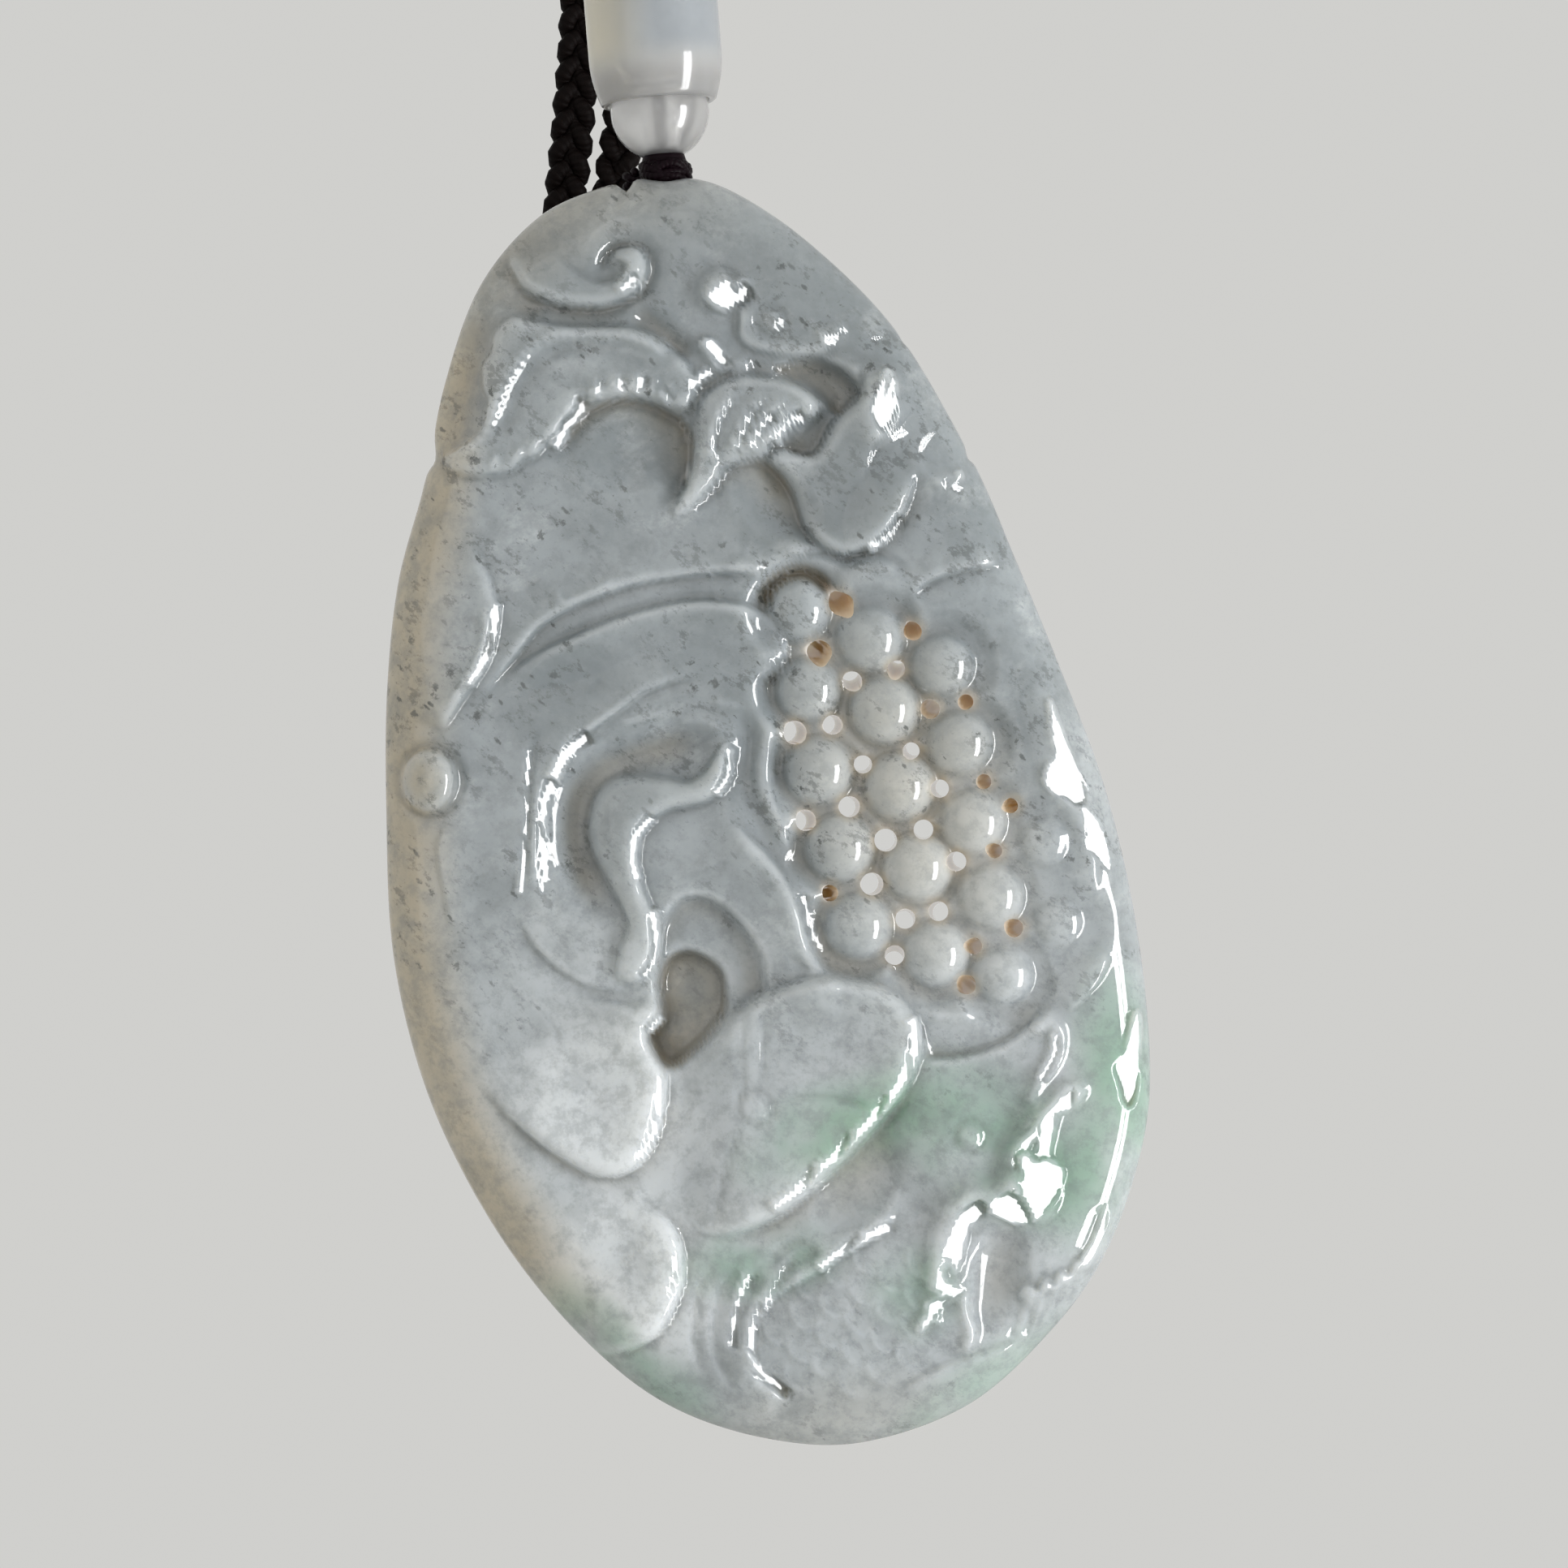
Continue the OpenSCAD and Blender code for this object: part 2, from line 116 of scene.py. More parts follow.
BACK_RINGS = (0.7, 0.4, 0.15)                       # where the back's rings lie, as shares of its width
# The thread's drilled way: its depth under the stone's top and its radius, and those of the knot's seat, mm
DRILL_DEPTH = 6.2
DRILL_RADIUS = 1.05
DRILL_PAST = 4.0             # how far over the top its bar starts, and half its bar's length to the back, mm
SEAT_DEPTH = 0.5
SEAT_RADIUS = 2.1
WALL_NEAR = 0.01             # how near a bar's surface a corner of the mesh is on its cut, mm
SHARP_ANGLE = math.radians(50)   # edges that bend by more than this are sharp
# Nicks in the edge: direction from the middle to this place, depth, half width in degrees
EDGE_NICKS = (((-9.5, 41.0), 0.7, 0.55), ((-22.2, 23.3), 0.5, 1.3), ((13.1, 23.4), 0.25, 0.8),
              ((8.8, 31.2), 0.12, 0.6))

# Polished facets that mirror the window: how far their normal leans right and up, and their outlines
FACETS = (
    (0.46, 0.01, ((18.4, 7.3), (18.9, 6.0), (19.9, 3.6), (20.8, 1.2), (20.3, 0.4), (19.4, 1.0), (18.6, 1.2),
                  (18.0, 2.0), (18.2, 3.0), (18.7, 3.6), (18.5, 5.0))),
    (0.46, -0.02, ((20.4, 0.3), (21.2, -0.2), (21.9, -1.3), (22.3, -2.8), (22.4, -3.8), (21.8, -3.2),
                   (21.3, -2.7), (20.7, -2.2), (20.9, -1.2))),
    (0.44, -0.20, ((22.7, -16.8), (23.2, -16.2), (23.6, -15.0), (24.0, -13.4), (24.4, -13.6), (24.3, -16.0),
                   (24.2, -18.0), (23.8, -19.3), (23.4, -19.0), (23.1, -17.9))),
    (0.46, -0.18, ((19.9, -18.4), (19.2, -18.7), (18.5, -19.3), (17.8, -20.0), (17.2, -20.9), (16.4, -21.7),
                   (16.0, -22.6), (16.1, -23.3), (16.7, -22.2), (17.3, -21.5), (17.8, -20.5), (18.5, -19.8),
                   (19.6, -19.6))),
    (0.46, -0.18, ((17.9, -20.1), (18.5, -20.0), (18.6, -20.7), (18.4, -21.8), (18.3, -22.9), (17.7, -23.2),
                   (17.5, -22.2), (17.7, -21.0))),
    (0.46, -0.17, ((16.3, -22.7), (16.8, -22.5), (17.3, -23.0), (18.2, -22.9), (18.9, -23.3), (19.3, -23.8),
                   (19.0, -24.8), (18.3, -25.9), (17.3, -26.9), (16.8, -26.2), (16.5, -25.0), (16.5, -23.7))),
    (0.47, -0.16, ((15.6, -25.0), (16.3, -25.5), (16.8, -26.3), (17.0, -27.0), (16.2, -27.1), (15.3, -26.7),
                   (14.5, -26.3), (13.8, -26.0), (14.6, -25.5))),
    (0.48, -0.15, ((13.6, -25.6), (14.1, -26.0), (13.9, -26.7), (13.1, -27.1), (12.8, -28.3), (12.5, -29.5),
                   (12.1, -30.2), (11.8, -29.2), (11.2, -29.0), (11.6, -27.9), (12.1, -26.9), (12.8, -26.1))),
    (0.48, -0.14, ((11.1, -29.9), (11.5, -30.8), (12.2, -31.3), (12.9, -31.3), (12.2, -31.9), (11.3, -31.5),
                   (10.7, -31.3), (10.8, -30.6))),
    (0.49, -0.13, ((11.6, -32.0), (11.1, -32.7), (10.5, -33.5), (9.8, -34.2), (9.9, -33.5), (10.3, -32.9),
                   (10.2, -32.3), (10.9, -32.1))),
    (0.45, -0.15, ((20.6, -29.5), (21.3, -28.4), (21.8, -27.1), (22.2, -26.0), (22.0, -27.8), (21.4, -29.1),
                   (20.8, -29.9))),
    (0.53, -0.11, ((-2.9, 35.0), (-3.6, 34.5), (-4.2, 33.9), (-3.8, 33.3), (-3.2, 33.0), (-2.5, 33.1),
                   (-1.6, 33.5), (-1.2, 34.1), (-1.8, 34.7), (-2.3, 34.1), (-2.6, 34.6))),
    (0.53, -0.09, ((-4.5, 30.7), (-4.1, 31.0), (-3.6, 30.8), (-3.1, 30.1), (-2.7, 29.5), (-3.3, 29.3),
                   (-3.7, 29.9), (-4.1, 30.3))),
    (0.50, -0.08, ((7.7, 29.0), (7.2, 28.2), (6.8, 27.3), (6.75, 26.2), (7.0, 25.4), (7.5, 24.9), (8.0, 25.6),
                   (8.3, 26.4), (8.3, 27.4), (8.2, 28.2))),
)

# Thin polished strips that mirror the window: upper (1) or lower (-1) panes, half width, middle line
STRIPS = (
    (-1, 0.30, ((9.2, -13.6), (9.45, -14.8), (9.2, -16.5), (8.4, -17.9), (7.5, -19.2), (6.2, -20.6),
                (4.9, -21.9), (3.4, -23.2), (1.9, -24.7), (0.2, -25.9))),
    (-1, 0.28, ((7.9, -27.3), (5.5, -28.3), (3.2, -29.9))),
    (-1, 0.20, ((0.8, -30.1), (-0.3, -32.3), (-1.1, -33.4), (-1.3, -34.8), (-1.0, -36.4), (0.3, -37.6),
                (1.1, -38.3))),
    (-1, 0.20, ((-1.5, -30.4), (-2.2, -32.2), (-2.4, -33.6), (-2.4, -35.1))),
    (-1, 0.20, ((18.7, -14.7), (18.6, -16.0), (17.7, -17.6))),
    (-1, 0.26, ((-7.3, -17.6), (-7.4, -19.9), (-7.9, -21.7), (-8.7, -22.7))),
    (-1, 0.22, ((-6.3, -29.0), (-6.4, -30.4), (-6.8, -31.6))),
    (1, 0.34, ((-12.0, 4.9), (-13.4, 3.8), (-14.3, 2.1))),
    (1, 0.24, ((-14.4, 2.0), (-14.9, 0.4), (-15.0, -2.1), (-14.7, -4.6))),
    (1, 0.20, ((-15.9, 4.0), (-16.0, 0.8), (-16.1, -2.2), (-16.4, -5.3))),
    (1, 0.20, ((-2.7, 4.1), (-2.8, 2.4), (-3.5, 1.2))),
    (1, 0.22, ((-7.8, -0.4), (-8.8, -1.6), (-9.1, -2.8), (-8.8, -4.4))),
    (-1, 0.20, ((-7.7, -6.6), (-7.5, -8.5), (-7.7, -9.9), (-8.3, -10.8))),
    (-1, 0.20, ((-7.3, -13.6), (-8.0, -14.4))),
    (1, 0.20, ((8.6, 19.2), (8.1, 18.5), (7.3, 17.8), (6.5, 17.3))),
    (1, 0.22, ((12.6, 22.1), (11.5, 21.7))),
    (1, 0.22, ((-8.8, 35.1), (-9.3, 34.6), (-9.9, 34.2))),
    (1, 0.27, ((-1.1, 26.2), (-1.7, 25.1), (-2.2, 23.9))),
    (1, 0.27, ((0.2, 25.9), (-0.7, 25.0), (-1.3, 23.9))),
    (1, 0.27, ((2.1, 26.0), (1.5, 25.8), (0.9, 25.3), (0.3, 24.4))),
    (1, 0.24, ((-3.8, 29.1), (-4.5, 28.6), (-4.9, 28.1), (-5.5, 27.9))),
    (1, 0.24, ((-12.3, 27.0), (-12.6, 26.2), (-13.4, 25.4), (-13.6, 24.8), (-14.2, 24.0))),
    (1, 0.20, ((-11.1, 28.2), (-11.5, 27.3))), (1, 0.20, ((-9.7, 28.3), (-10.0, 27.6))),
    (1, 0.20, ((-8.1, 28.4), (-8.8, 27.5))), (1, 0.22, ((-6.6, 26.9), (-7.0, 27.5))),
    (1, 0.20, ((4.9, 31.8), (4.2, 31.3), (3.4, 31.1))), (1, 0.20, ((0.6, 32.2), (0.1, 31.8))),
    (1, 0.22, ((-18.0, 13.6), (-18.2, 11.6), (-18.8, 9.9), (-19.8, 8.4))),
    (1, 0.20, ((2.2, -5.6), (2.6, -7.4), (3.3, -9.0))),
)
# Lean that mirrors the window's upper panes at the map's middle, its change per mm right and up, and how much
# less it leans up for the lower panes
PANE_LEAN = (0.517, 0.020)
PANE_LEAN_PER_MM = (-0.0030, -0.0037)
LOWER_PANE_LEAN = -0.28
STRIP_PLANE = 3.4            # length of one plane of a strip, mm
STRIP_STEP = 0.2             # distance of the points along a strip, mm
STRIP_SLANT = 3              # how far a joint of its planes slants to each side, in such steps
FACET_GROWN = 0.13           # how much wider than its outline a facet is all round, mm
FACET_EDGE = 0.2             # width over which it passes into the forms round it, mm
FACET_MARGIN = 0.4           # width round it in which the map may change, mm
LEAST_FALL = 0.2             # the least fall towards the edge that is taken out of its plane
# Painted light and shade for light that the stone lets through: spreads in mm of the bells for sunk places,
# narrow forms and slopes, how much painted light a slope adds, and how much more where it falls to the left
SUNK_REACH = 2.2
CREST_REACH = 0.45
SLOPE_REACH = 0.25
SLOPE_LIGHT = 0.05
LEFT_LIGHT = 0.6
BED_WIDTH = 1.4              # width over which a seed's bed comes back up, mm

# Round seeds of the cob: across, up, radius, height of the top over the ground, depth of the bed round it
SEEDS = (
    (1.9, 13.2, 2.35, 0.45, 0.9), (2.5, 8.0, 2.35, 0.65, 0.95), (3.2, 2.7, 2.5, 0.75, 0.95),
    (4.6, -2.4, 2.5, 0.75, 0.95), (5.8, -7.6, 2.5, 0.6, 0.95),
    (6.6, 11.4, 2.55, 0.75, 0.8), (7.5, 6.7, 2.5, 0.95, 0.9), (8.5, 1.6, 2.5, 0.95, 0.9),
    (9.7, -3.7, 2.5, 0.95, 0.9), (10.9, -9.4, 2.45, 0.75, 0.8),
    (11.4, 9.6, 2.5, 0.7, 0.5), (12.5, 4.5, 2.5, 0.8, 0.55), (13.4, -0.7, 2.5, 0.8, 0.55),
    (14.6, -5.6, 2.5, 0.8, 0.55), (15.4, -10.8, 2.4, 0.6, 0.55),
    (18.1, -2.0, 2.3, 0.4, 0.3), (19.0, -7.3, 2.4, 0.35, 0.3),
)
# Pierced gaps: across, up, radius, lean across and lean up in degrees
GAPS = (
    (4.6, 13.8, 0.80, -8, 22), (3.2, 10.5, 0.80, -12, 14), (5.4, 8.6, 0.65, 0, 8),
    (8.3, 9.4, 0.60, 5, 10), (9.4, 12.0, 0.60, 6, 20), (10.6, 6.8, 0.65, 14, 8),
    (13.0, 7.3, 0.50, 18, 8), (1.6, 5.2, 0.78, -6, 3), (4.1, 5.7, 0.65, -4, 2),
    (6.1, 3.1, 0.60, 0, 2), (9.3, 4.0, 0.55, 4, 2), (11.2, 1.5, 0.60, 5, 0),
    (14.2, 2.0, 0.50, 17, 2), (16.0, 0.4, 0.50, 20, 0), (5.2, 0.3, 0.70, -2, 0),
    (2.3, -0.6, 0.70, -6, 0), (7.6, -1.9, 0.75, 0, 0), (10.1, -1.2, 0.65, 2, 0),
    (12.3, -3.3, 0.65, 6, 0), (14.9, -2.6, 0.50, 16, -3), (6.7, -4.8, 0.75, -2, 0),
    (3.9, -5.4, 0.55, -12, 0), (8.9, -7.1, 0.65, 0, -3), (11.1, -6.6, 0.65, 4, -3),
    (16.2, -7.7, 0.60, 17, -4), (13.5, -8.9, 0.55, 14, -8), (8.2, -9.5, 0.65, 0, -6),
    (13.0, -11.5, 0.65, 10, -14),
)

# Middle line of the neck cord, in mm: across, depth, up. It goes from one end in the barrel over its support,
# down behind the stone, round its lower end and back. The last run is the first one mirrored. CORD_X is half
# the distance of the two in the barrel, and CORD_END_Z is where both end, just over the round bead.
CORD_X = 1.455
CORD_END_Z = BEAD_Z + 3.7
CORD_RUN = (
    (-CORD_X, -7, CORD_END_Z), (-CORD_X, -7, -104), (-CORD_X, -7, -97), (-1.8, -7, -85),
    (-2, -7, -65), (-2, -7, -45), (-2, -7, -25), (-1.9, -7, -12), (-1.9, -7, -5.6),
    (-1.9, -6.1, -2.2), (-1.9, -3.5, 0.4), (-1.9, 0, 1.4), (-1.9, 3.5, 0.4), (-1.9, 6.1, -2.2),
    (-1.9, 7, -5.6),
)
CORD_ROUTE = (
    *CORD_RUN, (-2, 7, -14), (-2.2, 7, -32), (-2.5, 7, -52), (-3, 7, -72),
    (-3.8, 7, -90), (-5, 7, -103), (-6.2, 7, -111), (-7.1, 7, -116), (-8.1, 7, -122),
    (-9.4, 7, -134), (-10, 7, -150), (-10, 7, -168), (-9.9, 7, -180),
    (-9.9, 7, -186.6), (-9.1, 7, -189.6), (-6.9, 7, -191.8), (-3.9, 7, -192.6),
    (-0.9, 7, -191.8), (1.3, 7, -189.6), (2.1, 7, -186.6), (2.1, 7, -180),
    (1.4, 7, -168), (-0.6, 7, -150), (-3, 7, -134), (-4.6, 7, -122),
    (-3.7, 7, -116), (-2.6, 7, -111), (-1.4, 7, -103), (-0.4, 7, -90), (0.4, 7, -72),
    (1, 7, -52), (1.5, 7, -32), (1.8, 7, -14), *((-x, y, z) for x, y, z in reversed(CORD_RUN)),
)
# Middle line of the thread: down through the bead and the stone, out at the back, over the edge to the knot
THREAD_ROUTE = (
    (0, -7, CORD_END_Z - 0.3), (0, -7, -114), (0, -7, -118), (0, -7, -122.2), (0, -6.6, -123.7),
    (0, -5.2, -124.2), (0, -4.2, -124.2), (0, -3.3, -123.8), (-0.1, -3.1, -123),
    (-0.9, -3.1, -121.2), (-1.9, -3.3, -119.6), (-2.4, -4.1, -118.2), (-2.4, -5.2, -117.4),
    (-1.85, -6, -117.4),
)


# Curves and meshes

def smooth(points, closed=False, steps=6):
    """A curve through the points: a cubic between each two, in so many steps.

    At each point it runs parallel to the line between the points before and after it.
    """
    p = np.asarray(points, float)
    before = np.roll(p, 1, 0)
    after = np.roll(p, -1, 0)
    beyond = np.roll(p, -2, 0)
    if not closed:
        before[0] = p[0]
        after[-1] = p[-1]
        beyond[-1] = beyond[-2] = p[-1]
    t = np.linspace(0, 1, steps, endpoint=False)[None, :, None]
    a, b, c, d = (q[:, None, :] for q in (before, p, after, beyond))
    curve = 0.5 * (2 * b + (c - a) * t + (2 * a - 5 * b + 4 * c - d) * t**2 + (3 * b - 3 * c + d - a) * t**3)
    if closed:
        return curve.reshape(-1, p.shape[1])
    return np.vstack((curve[:-1].reshape(-1, p.shape[1]), p[-1]))


def even_steps(curve, step):
    """The same curve with its points a fixed step apart along it, and the distance along it of each."""
    along = np.concatenate(((0,), np.cumsum(np.linalg.norm(np.diff(curve, axis=0), axis=1))))
    count = max(2, int(round(along[-1] / step)) + 1)
    at = np.linspace(0, along[-1], count)
    return np.stack([np.interp(at, along, curve[:, k]) for k in range(curve.shape[1])], 1), at


def carried_sides(line, first):
    """At each point of a line its direction and two sides square to it, carried along without a twist."""
    way = np.gradient(line, axis=0)
    way /= np.linalg.norm(way, axis=1)[:, None]
    side = np.empty_like(line)
    current = np.asarray(first, float)
    for i, heading in enumerate(way):
        current = current - heading * (current @ heading)
        current = current / np.linalg.norm(current)
        side[i] = current
    return way, side, np.cross(way, side)


def grid_faces(rows, columns, wrap_rows=False, wrap_columns=False):
    """Four-sided faces of a grid of points, row by row, joined round where a direction wraps."""
    i = np.arange(rows if wrap_rows else rows - 1)[:, None]
    j = np.arange(columns if wrap_columns else columns - 1)[None, :]
    here = i * columns + j
    right = i * columns + (j + 1) % columns
    below = (i + 1) % rows * columns + j
    corner = (i + 1) % rows * columns + (j + 1) % columns
    return np.stack((here, right, corner, below), -1).reshape(-1, 4)


def outward(points, faces):
    """The faces, turned if the volume that they enclose comes out negative."""
    a, b, c = (points[faces[:, k]] for k in range(3))
    volume = np.einsum("ij,ij->i", a, np.cross(b, c)).sum()
    if faces.shape[1] == 4:
        d = points[faces[:, 3]]
        volume += np.einsum("ij,ij->i", a, np.cross(c, d)).sum()
    return faces if volume > 0 else faces[:, ::-1]


def add_mesh(name, points, faces, uv=None, smooth_shade=True):
    """A new object whose mesh has these points, in mm, and these faces. uv holds a pair for each corner."""
    mesh = bpy.data.meshes.new(name)
    mesh.from_pydata((points * MM).tolist(), [], faces)
    mesh.polygons.foreach_set("use_smooth", np.full(len(mesh.polygons), smooth_shade))
    if uv is not None:
        mesh.uv_layers.new(name="uv").data.foreach_set("uv", uv.astype(np.float32).ravel())
    mesh.update()
    obj = bpy.data.objects.new(name, mesh)
    bpy.context.scene.collection.objects.link(obj)
    return obj


def lathe(name, profile, sides=96):
    """A closed profile of (radius, height) pairs turned round the column's axis: a ring with a bore."""
    turn = np.linspace(0, 2 * np.pi, sides, endpoint=False)
    radius, height = profile.T
    x = radius[:, None] * np.cos(turn)
    y = COLUMN_Y + radius[:, None] * np.sin(turn)
    z = np.repeat(height[:, None], sides, 1)
    points = np.stack((x, y, z), -1).reshape(-1, 3)
    return add_mesh(name, points, outward(points, grid_faces(len(radius), sides, True, True)).tolist())


def tube_parts(line, first_side, half_wide, half_thick, sides, thicker=1.0):
    """A tube of oval section along a line, with rounded ends, as points, faces, uv and the rings of its ends.

    Each ring is the oval's cosine and sine times its two half widths along the carried sides. thicker, a
    value for each point, makes it wider and narrower. Past each end the ring shrinks to a point along a
    quarter circle.
    """
    way, side, across = carried_sides(line, first_side)
    cap = np.radians((90, 60, 30))
    swell = np.concatenate((np.cos(cap), np.ones(len(line)), np.cos(cap[::-1])))
    swell[0] = swell[-1] = 0.02
    push = np.concatenate((-np.sin(cap), np.zeros(len(line)), np.sin(cap[::-1]))) * min(half_wide, half_thick)
    index = np.concatenate(((0, 0, 0), np.arange(len(line)), (len(line) - 1,) * 3))
    around = np.linspace(0, 2 * np.pi, sides, endpoint=False)
    ring = (half_wide * np.cos(around)[None, :, None] * side[index][:, None, :]
            + half_thick * np.sin(around)[None, :, None] * across[index][:, None, :])
    centre = line[index] + way[index] * push[:, None]
    swell = swell * np.broadcast_to(thicker, len(line))[index]
    points = centre[:, None, :] + ring * swell[:, None, None]
    rows = len(index)
    faces = grid_faces(rows, sides, False, True)
    along = np.concatenate(((0,), np.cumsum(np.linalg.norm(np.diff(centre, axis=0), axis=1))))
    row, column = np.divmod(np.arange(rows * sides), sides)
    u = column / sides
    corner_u = u[faces]
    corner_u[:, 1:3] = np.where(corner_u[:, 1:3] == 0, 1, corner_u[:, 1:3])
    uv = np.stack((corner_u, along[row[faces]]), -1)
    ends = (np.arange(sides)[::-1], np.arange(sides) + (rows - 1) * sides)
    return points.reshape(-1, 3), faces, uv, ends


def join_tubes(name, tubes):
    """One object of several tubes. Each end is closed with one small face of many corners."""
    points, faces, uvs, start = [], [], [], 0
    for tube_points, tube_faces, uv, ends in tubes:
        quads = outward(tube_points, tube_faces)
        turned = quads[0, 0] != tube_faces[0, 0]
        points.append(tube_points)
        faces += (quads + start).tolist()
        uvs.append((uv[:, ::-1] if turned else uv).reshape(-1, 2))
        for end in ends:
            cap = end[::-1] if turned else end
            faces.append((cap + start).tolist())
            uvs.append(np.zeros((len(cap), 2)))
        start += len(tube_points)
    return add_mesh(name, np.vstack(points), faces, np.vstack(uvs))


def dress(obj, node, material):
    """The piece takes its material, rides on the one body and stands for its node."""
    obj.data.materials.append(material)
    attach(obj, "root")
    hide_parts(node)


# The map of the carving

def shoulder(share):
    """A quarter circle's rise from 0 at the edge to 1 at share 1."""
    s = np.clip(share, 0, 1)
    return np.sqrt(1 - (1 - s) ** 2)


def ease(share):
    """A soft rise from 0 to 1: three times the square less two times the cube."""
    s = np.clip(share, 0, 1)
    return s * s * (3 - 2 * s)


def nearest(curve, x, y):
    """Distance to the curve, the side (left of its direction is positive) and the share of its length."""
    step = np.diff(curve, axis=0)
    length = np.linalg.norm(step, axis=1)
    start = np.concatenate(((0,), np.cumsum(length)))
    best = np.full(x.shape, 1e9)
    side = np.ones(x.shape)
    along = np.zeros(x.shape)
    for (ax, ay), (dx, dy), size, before in zip(curve[:-1], step, length, start):
        if size < 1e-9:
            continue
        t = np.clip(((x - ax) * dx + (y - ay) * dy) / size**2, 0, 1)
        gap = (x - ax - t * dx) ** 2 + (y - ay - t * dy) ** 2
        closer = gap < best
        best = np.where(closer, gap, best)
        side = np.where(closer, np.where(dx * (y - ay) - dy * (x - ax) > 0, 1, -1), side)
        along = np.where(closer, (before + t * size) / start[-1], along)
    return np.sqrt(best), side, along, start[-1]


def inside(loop, x, y):
    """Whether each place lies in a closed loop, by counting the edges that a line to its right crosses."""
    odd = np.zeros(x.shape, bool)
    for (ax, ay), (bx, by) in zip(loop, np.roll(loop, -1, 0)):
        crosses = (ay > y) != (by > y)
        odd ^= crosses & (x < (bx - ax) * (y - ay) / (by - ay + 1e-12) + ax)
    return odd


class Relief:
    """Heights in mm over the ground of the carving, on a fine even map of the stone's plane.

    Each method adds one kind of form, and the forms pile up in the order in which they are carved.
    """

    def __init__(self, half_across=27.0, half_up=44.0, step=0.1):
        self.step = step
        self.across = np.arange(-half_across, half_across + step / 2, step)
        self.up = np.arange(-half_up, half_up + step / 2, step)
        self.height = np.zeros((len(self.up), len(self.across)))

    def window(self, points, margin):
        """The part of the map within a margin of some points, with its coordinates."""
        low = points.min(0) - margin
        high = points.max(0) + margin
        i0, i1 = np.searchsorted(self.across, (low[0], high[0]))
        j0, j1 = np.searchsorted(self.up, (low[1], high[1]))
        x, y = np.meshgrid(self.across[i0:i1], self.up[j0:j1])
        return (slice(j0, j1), slice(i0, i1)), x, y

    def plateau(self, points, rise, edge, share=None):
        """Inside a closed outline the height changes by rise, over a quarter round of this width at its edge.

        share, a function of the place, scales the change from place to place.
        """
        loop = smooth(points, closed=True)
        part, x, y = self.window(loop, 0.3)
        distance = nearest(np.vstack((loop, loop[:1])), x, y)[0]
        change = np.where(inside(loop, x, y), rise * shoulder(distance / edge / EDGE_SHARE), 0)
        self.height[part] += change if share is None else change * share(x, y)

    def ledge(self, points, rise, edge, reach, fade=(0.15, 0.15), sink=0.0, sink_reach=2.0):
        """An open curve parts a raised side, on the left of its direction, from a sunk side.

        The left side steps up over a quarter round as wide as edge and falls back to nothing at the distance
        reach, as what is left of it to the power 1.5. The right side drops by sink at the curve and comes
        back as the square over sink_reach. fade gives the shares of the curve over which both come and go.
        """
        curve = smooth(points)
        part, x, y = self.window(curve, max(reach, sink_reach))
        distance, side, along, _ = nearest(curve, x, y)
        ends = ease(along / max(fade[0], 1e-6)) * ease((1 - along) / max(fade[1], 1e-6))
        raised = rise * shoulder(distance / edge / EDGE_SHARE) * np.clip(1 - distance / reach, 0, 1) ** 1.5
        sunk = -sink * np.clip(1 - distance / sink_reach, 0, 1) ** 2
        self.height[part] += np.where(side > 0, raised, sunk) * ends

    def line(self, points, rise, width, fade=0.2, bead=0.0):
        """A ridge, or with a negative rise a groove, whose section is a bell of this half width.

        With bead, its height swells and shrinks along it with waves of that length.
        """
        curve = smooth(points)
        part, x, y = self.window(curve, 3 * width)
        distance, _, along, length = nearest(curve, x, y)
        ends = ease(along / fade) * ease((1 - along) / fade)
        if bead:
            ends = ends * (0.75 + 0.35 * np.sin(2 * np.pi * along * length / bead))
        self.height[part] += rise * np.exp(-((distance / width) ** 2)) * ends

    def mound(self, centre, half_long, half_wide, turn, rise, sharp=2.0):
        """A rounded hill, or with a negative rise a dish: 1 less the distance squared, to a power."""
        middle = np.array([centre], float)
        part, x, y = self.window(middle, max(half_long, half_wide) + 0.2)
        c, s = math.cos(math.radians(turn)), math.sin(math.radians(turn))
        along = ((x - centre[0]) * c + (y - centre[1]) * s) / half_long
        beside = ((y - centre[1]) * c - (x - centre[0]) * s) / half_wide
        self.height[part] += rise * np.clip(1 - along**2 - beside**2, 0, 1) ** sharp

    def ring(self, centre, radius, rise, width):
        """A round ridge or groove about a centre."""
        part, x, y = self.window(np.array([centre], float), radius + 3 * width)
        distance = np.abs(np.hypot(x - centre[0], y - centre[1]) - radius)
        self.height[part] += rise * np.exp(-((distance / width) ** 2))

    def arc(self, centre, radius, first, last, rise, width):
        """A ridge along part of a circle, from one direction to another in degrees."""
        turn = np.radians(np.linspace(first, last, 7))
        points = np.stack((centre[0] + radius * np.cos(turn), centre[1] + radius * np.sin(turn)), 1)
        self.line(points, rise, width, fade=0.3)

    def seeds(self, rows):
        """Each seed is the top of a ball. Its bed is deepest at the ball and comes back over BED_WIDTH."""
        part, x, y = self.window(np.array(rows)[:, :2], 4.5)
        bed = np.zeros(x.shape)
        domes = np.full(x.shape, -9.0)
        for across, up, radius, top, depth in rows:
            away = np.hypot(x - across, y - up)
            bed = np.minimum(bed, -depth * (1 - ease((away - radius - 0.1) / BED_WIDTH)))
            cap = top - radius + np.sqrt(np.clip(radius**2 - away**2, 0, None))
            domes = np.maximum(domes, np.where(away < radius, cap, -9.0))
        self.height[part] = np.maximum(self.height[part] + bed, domes)

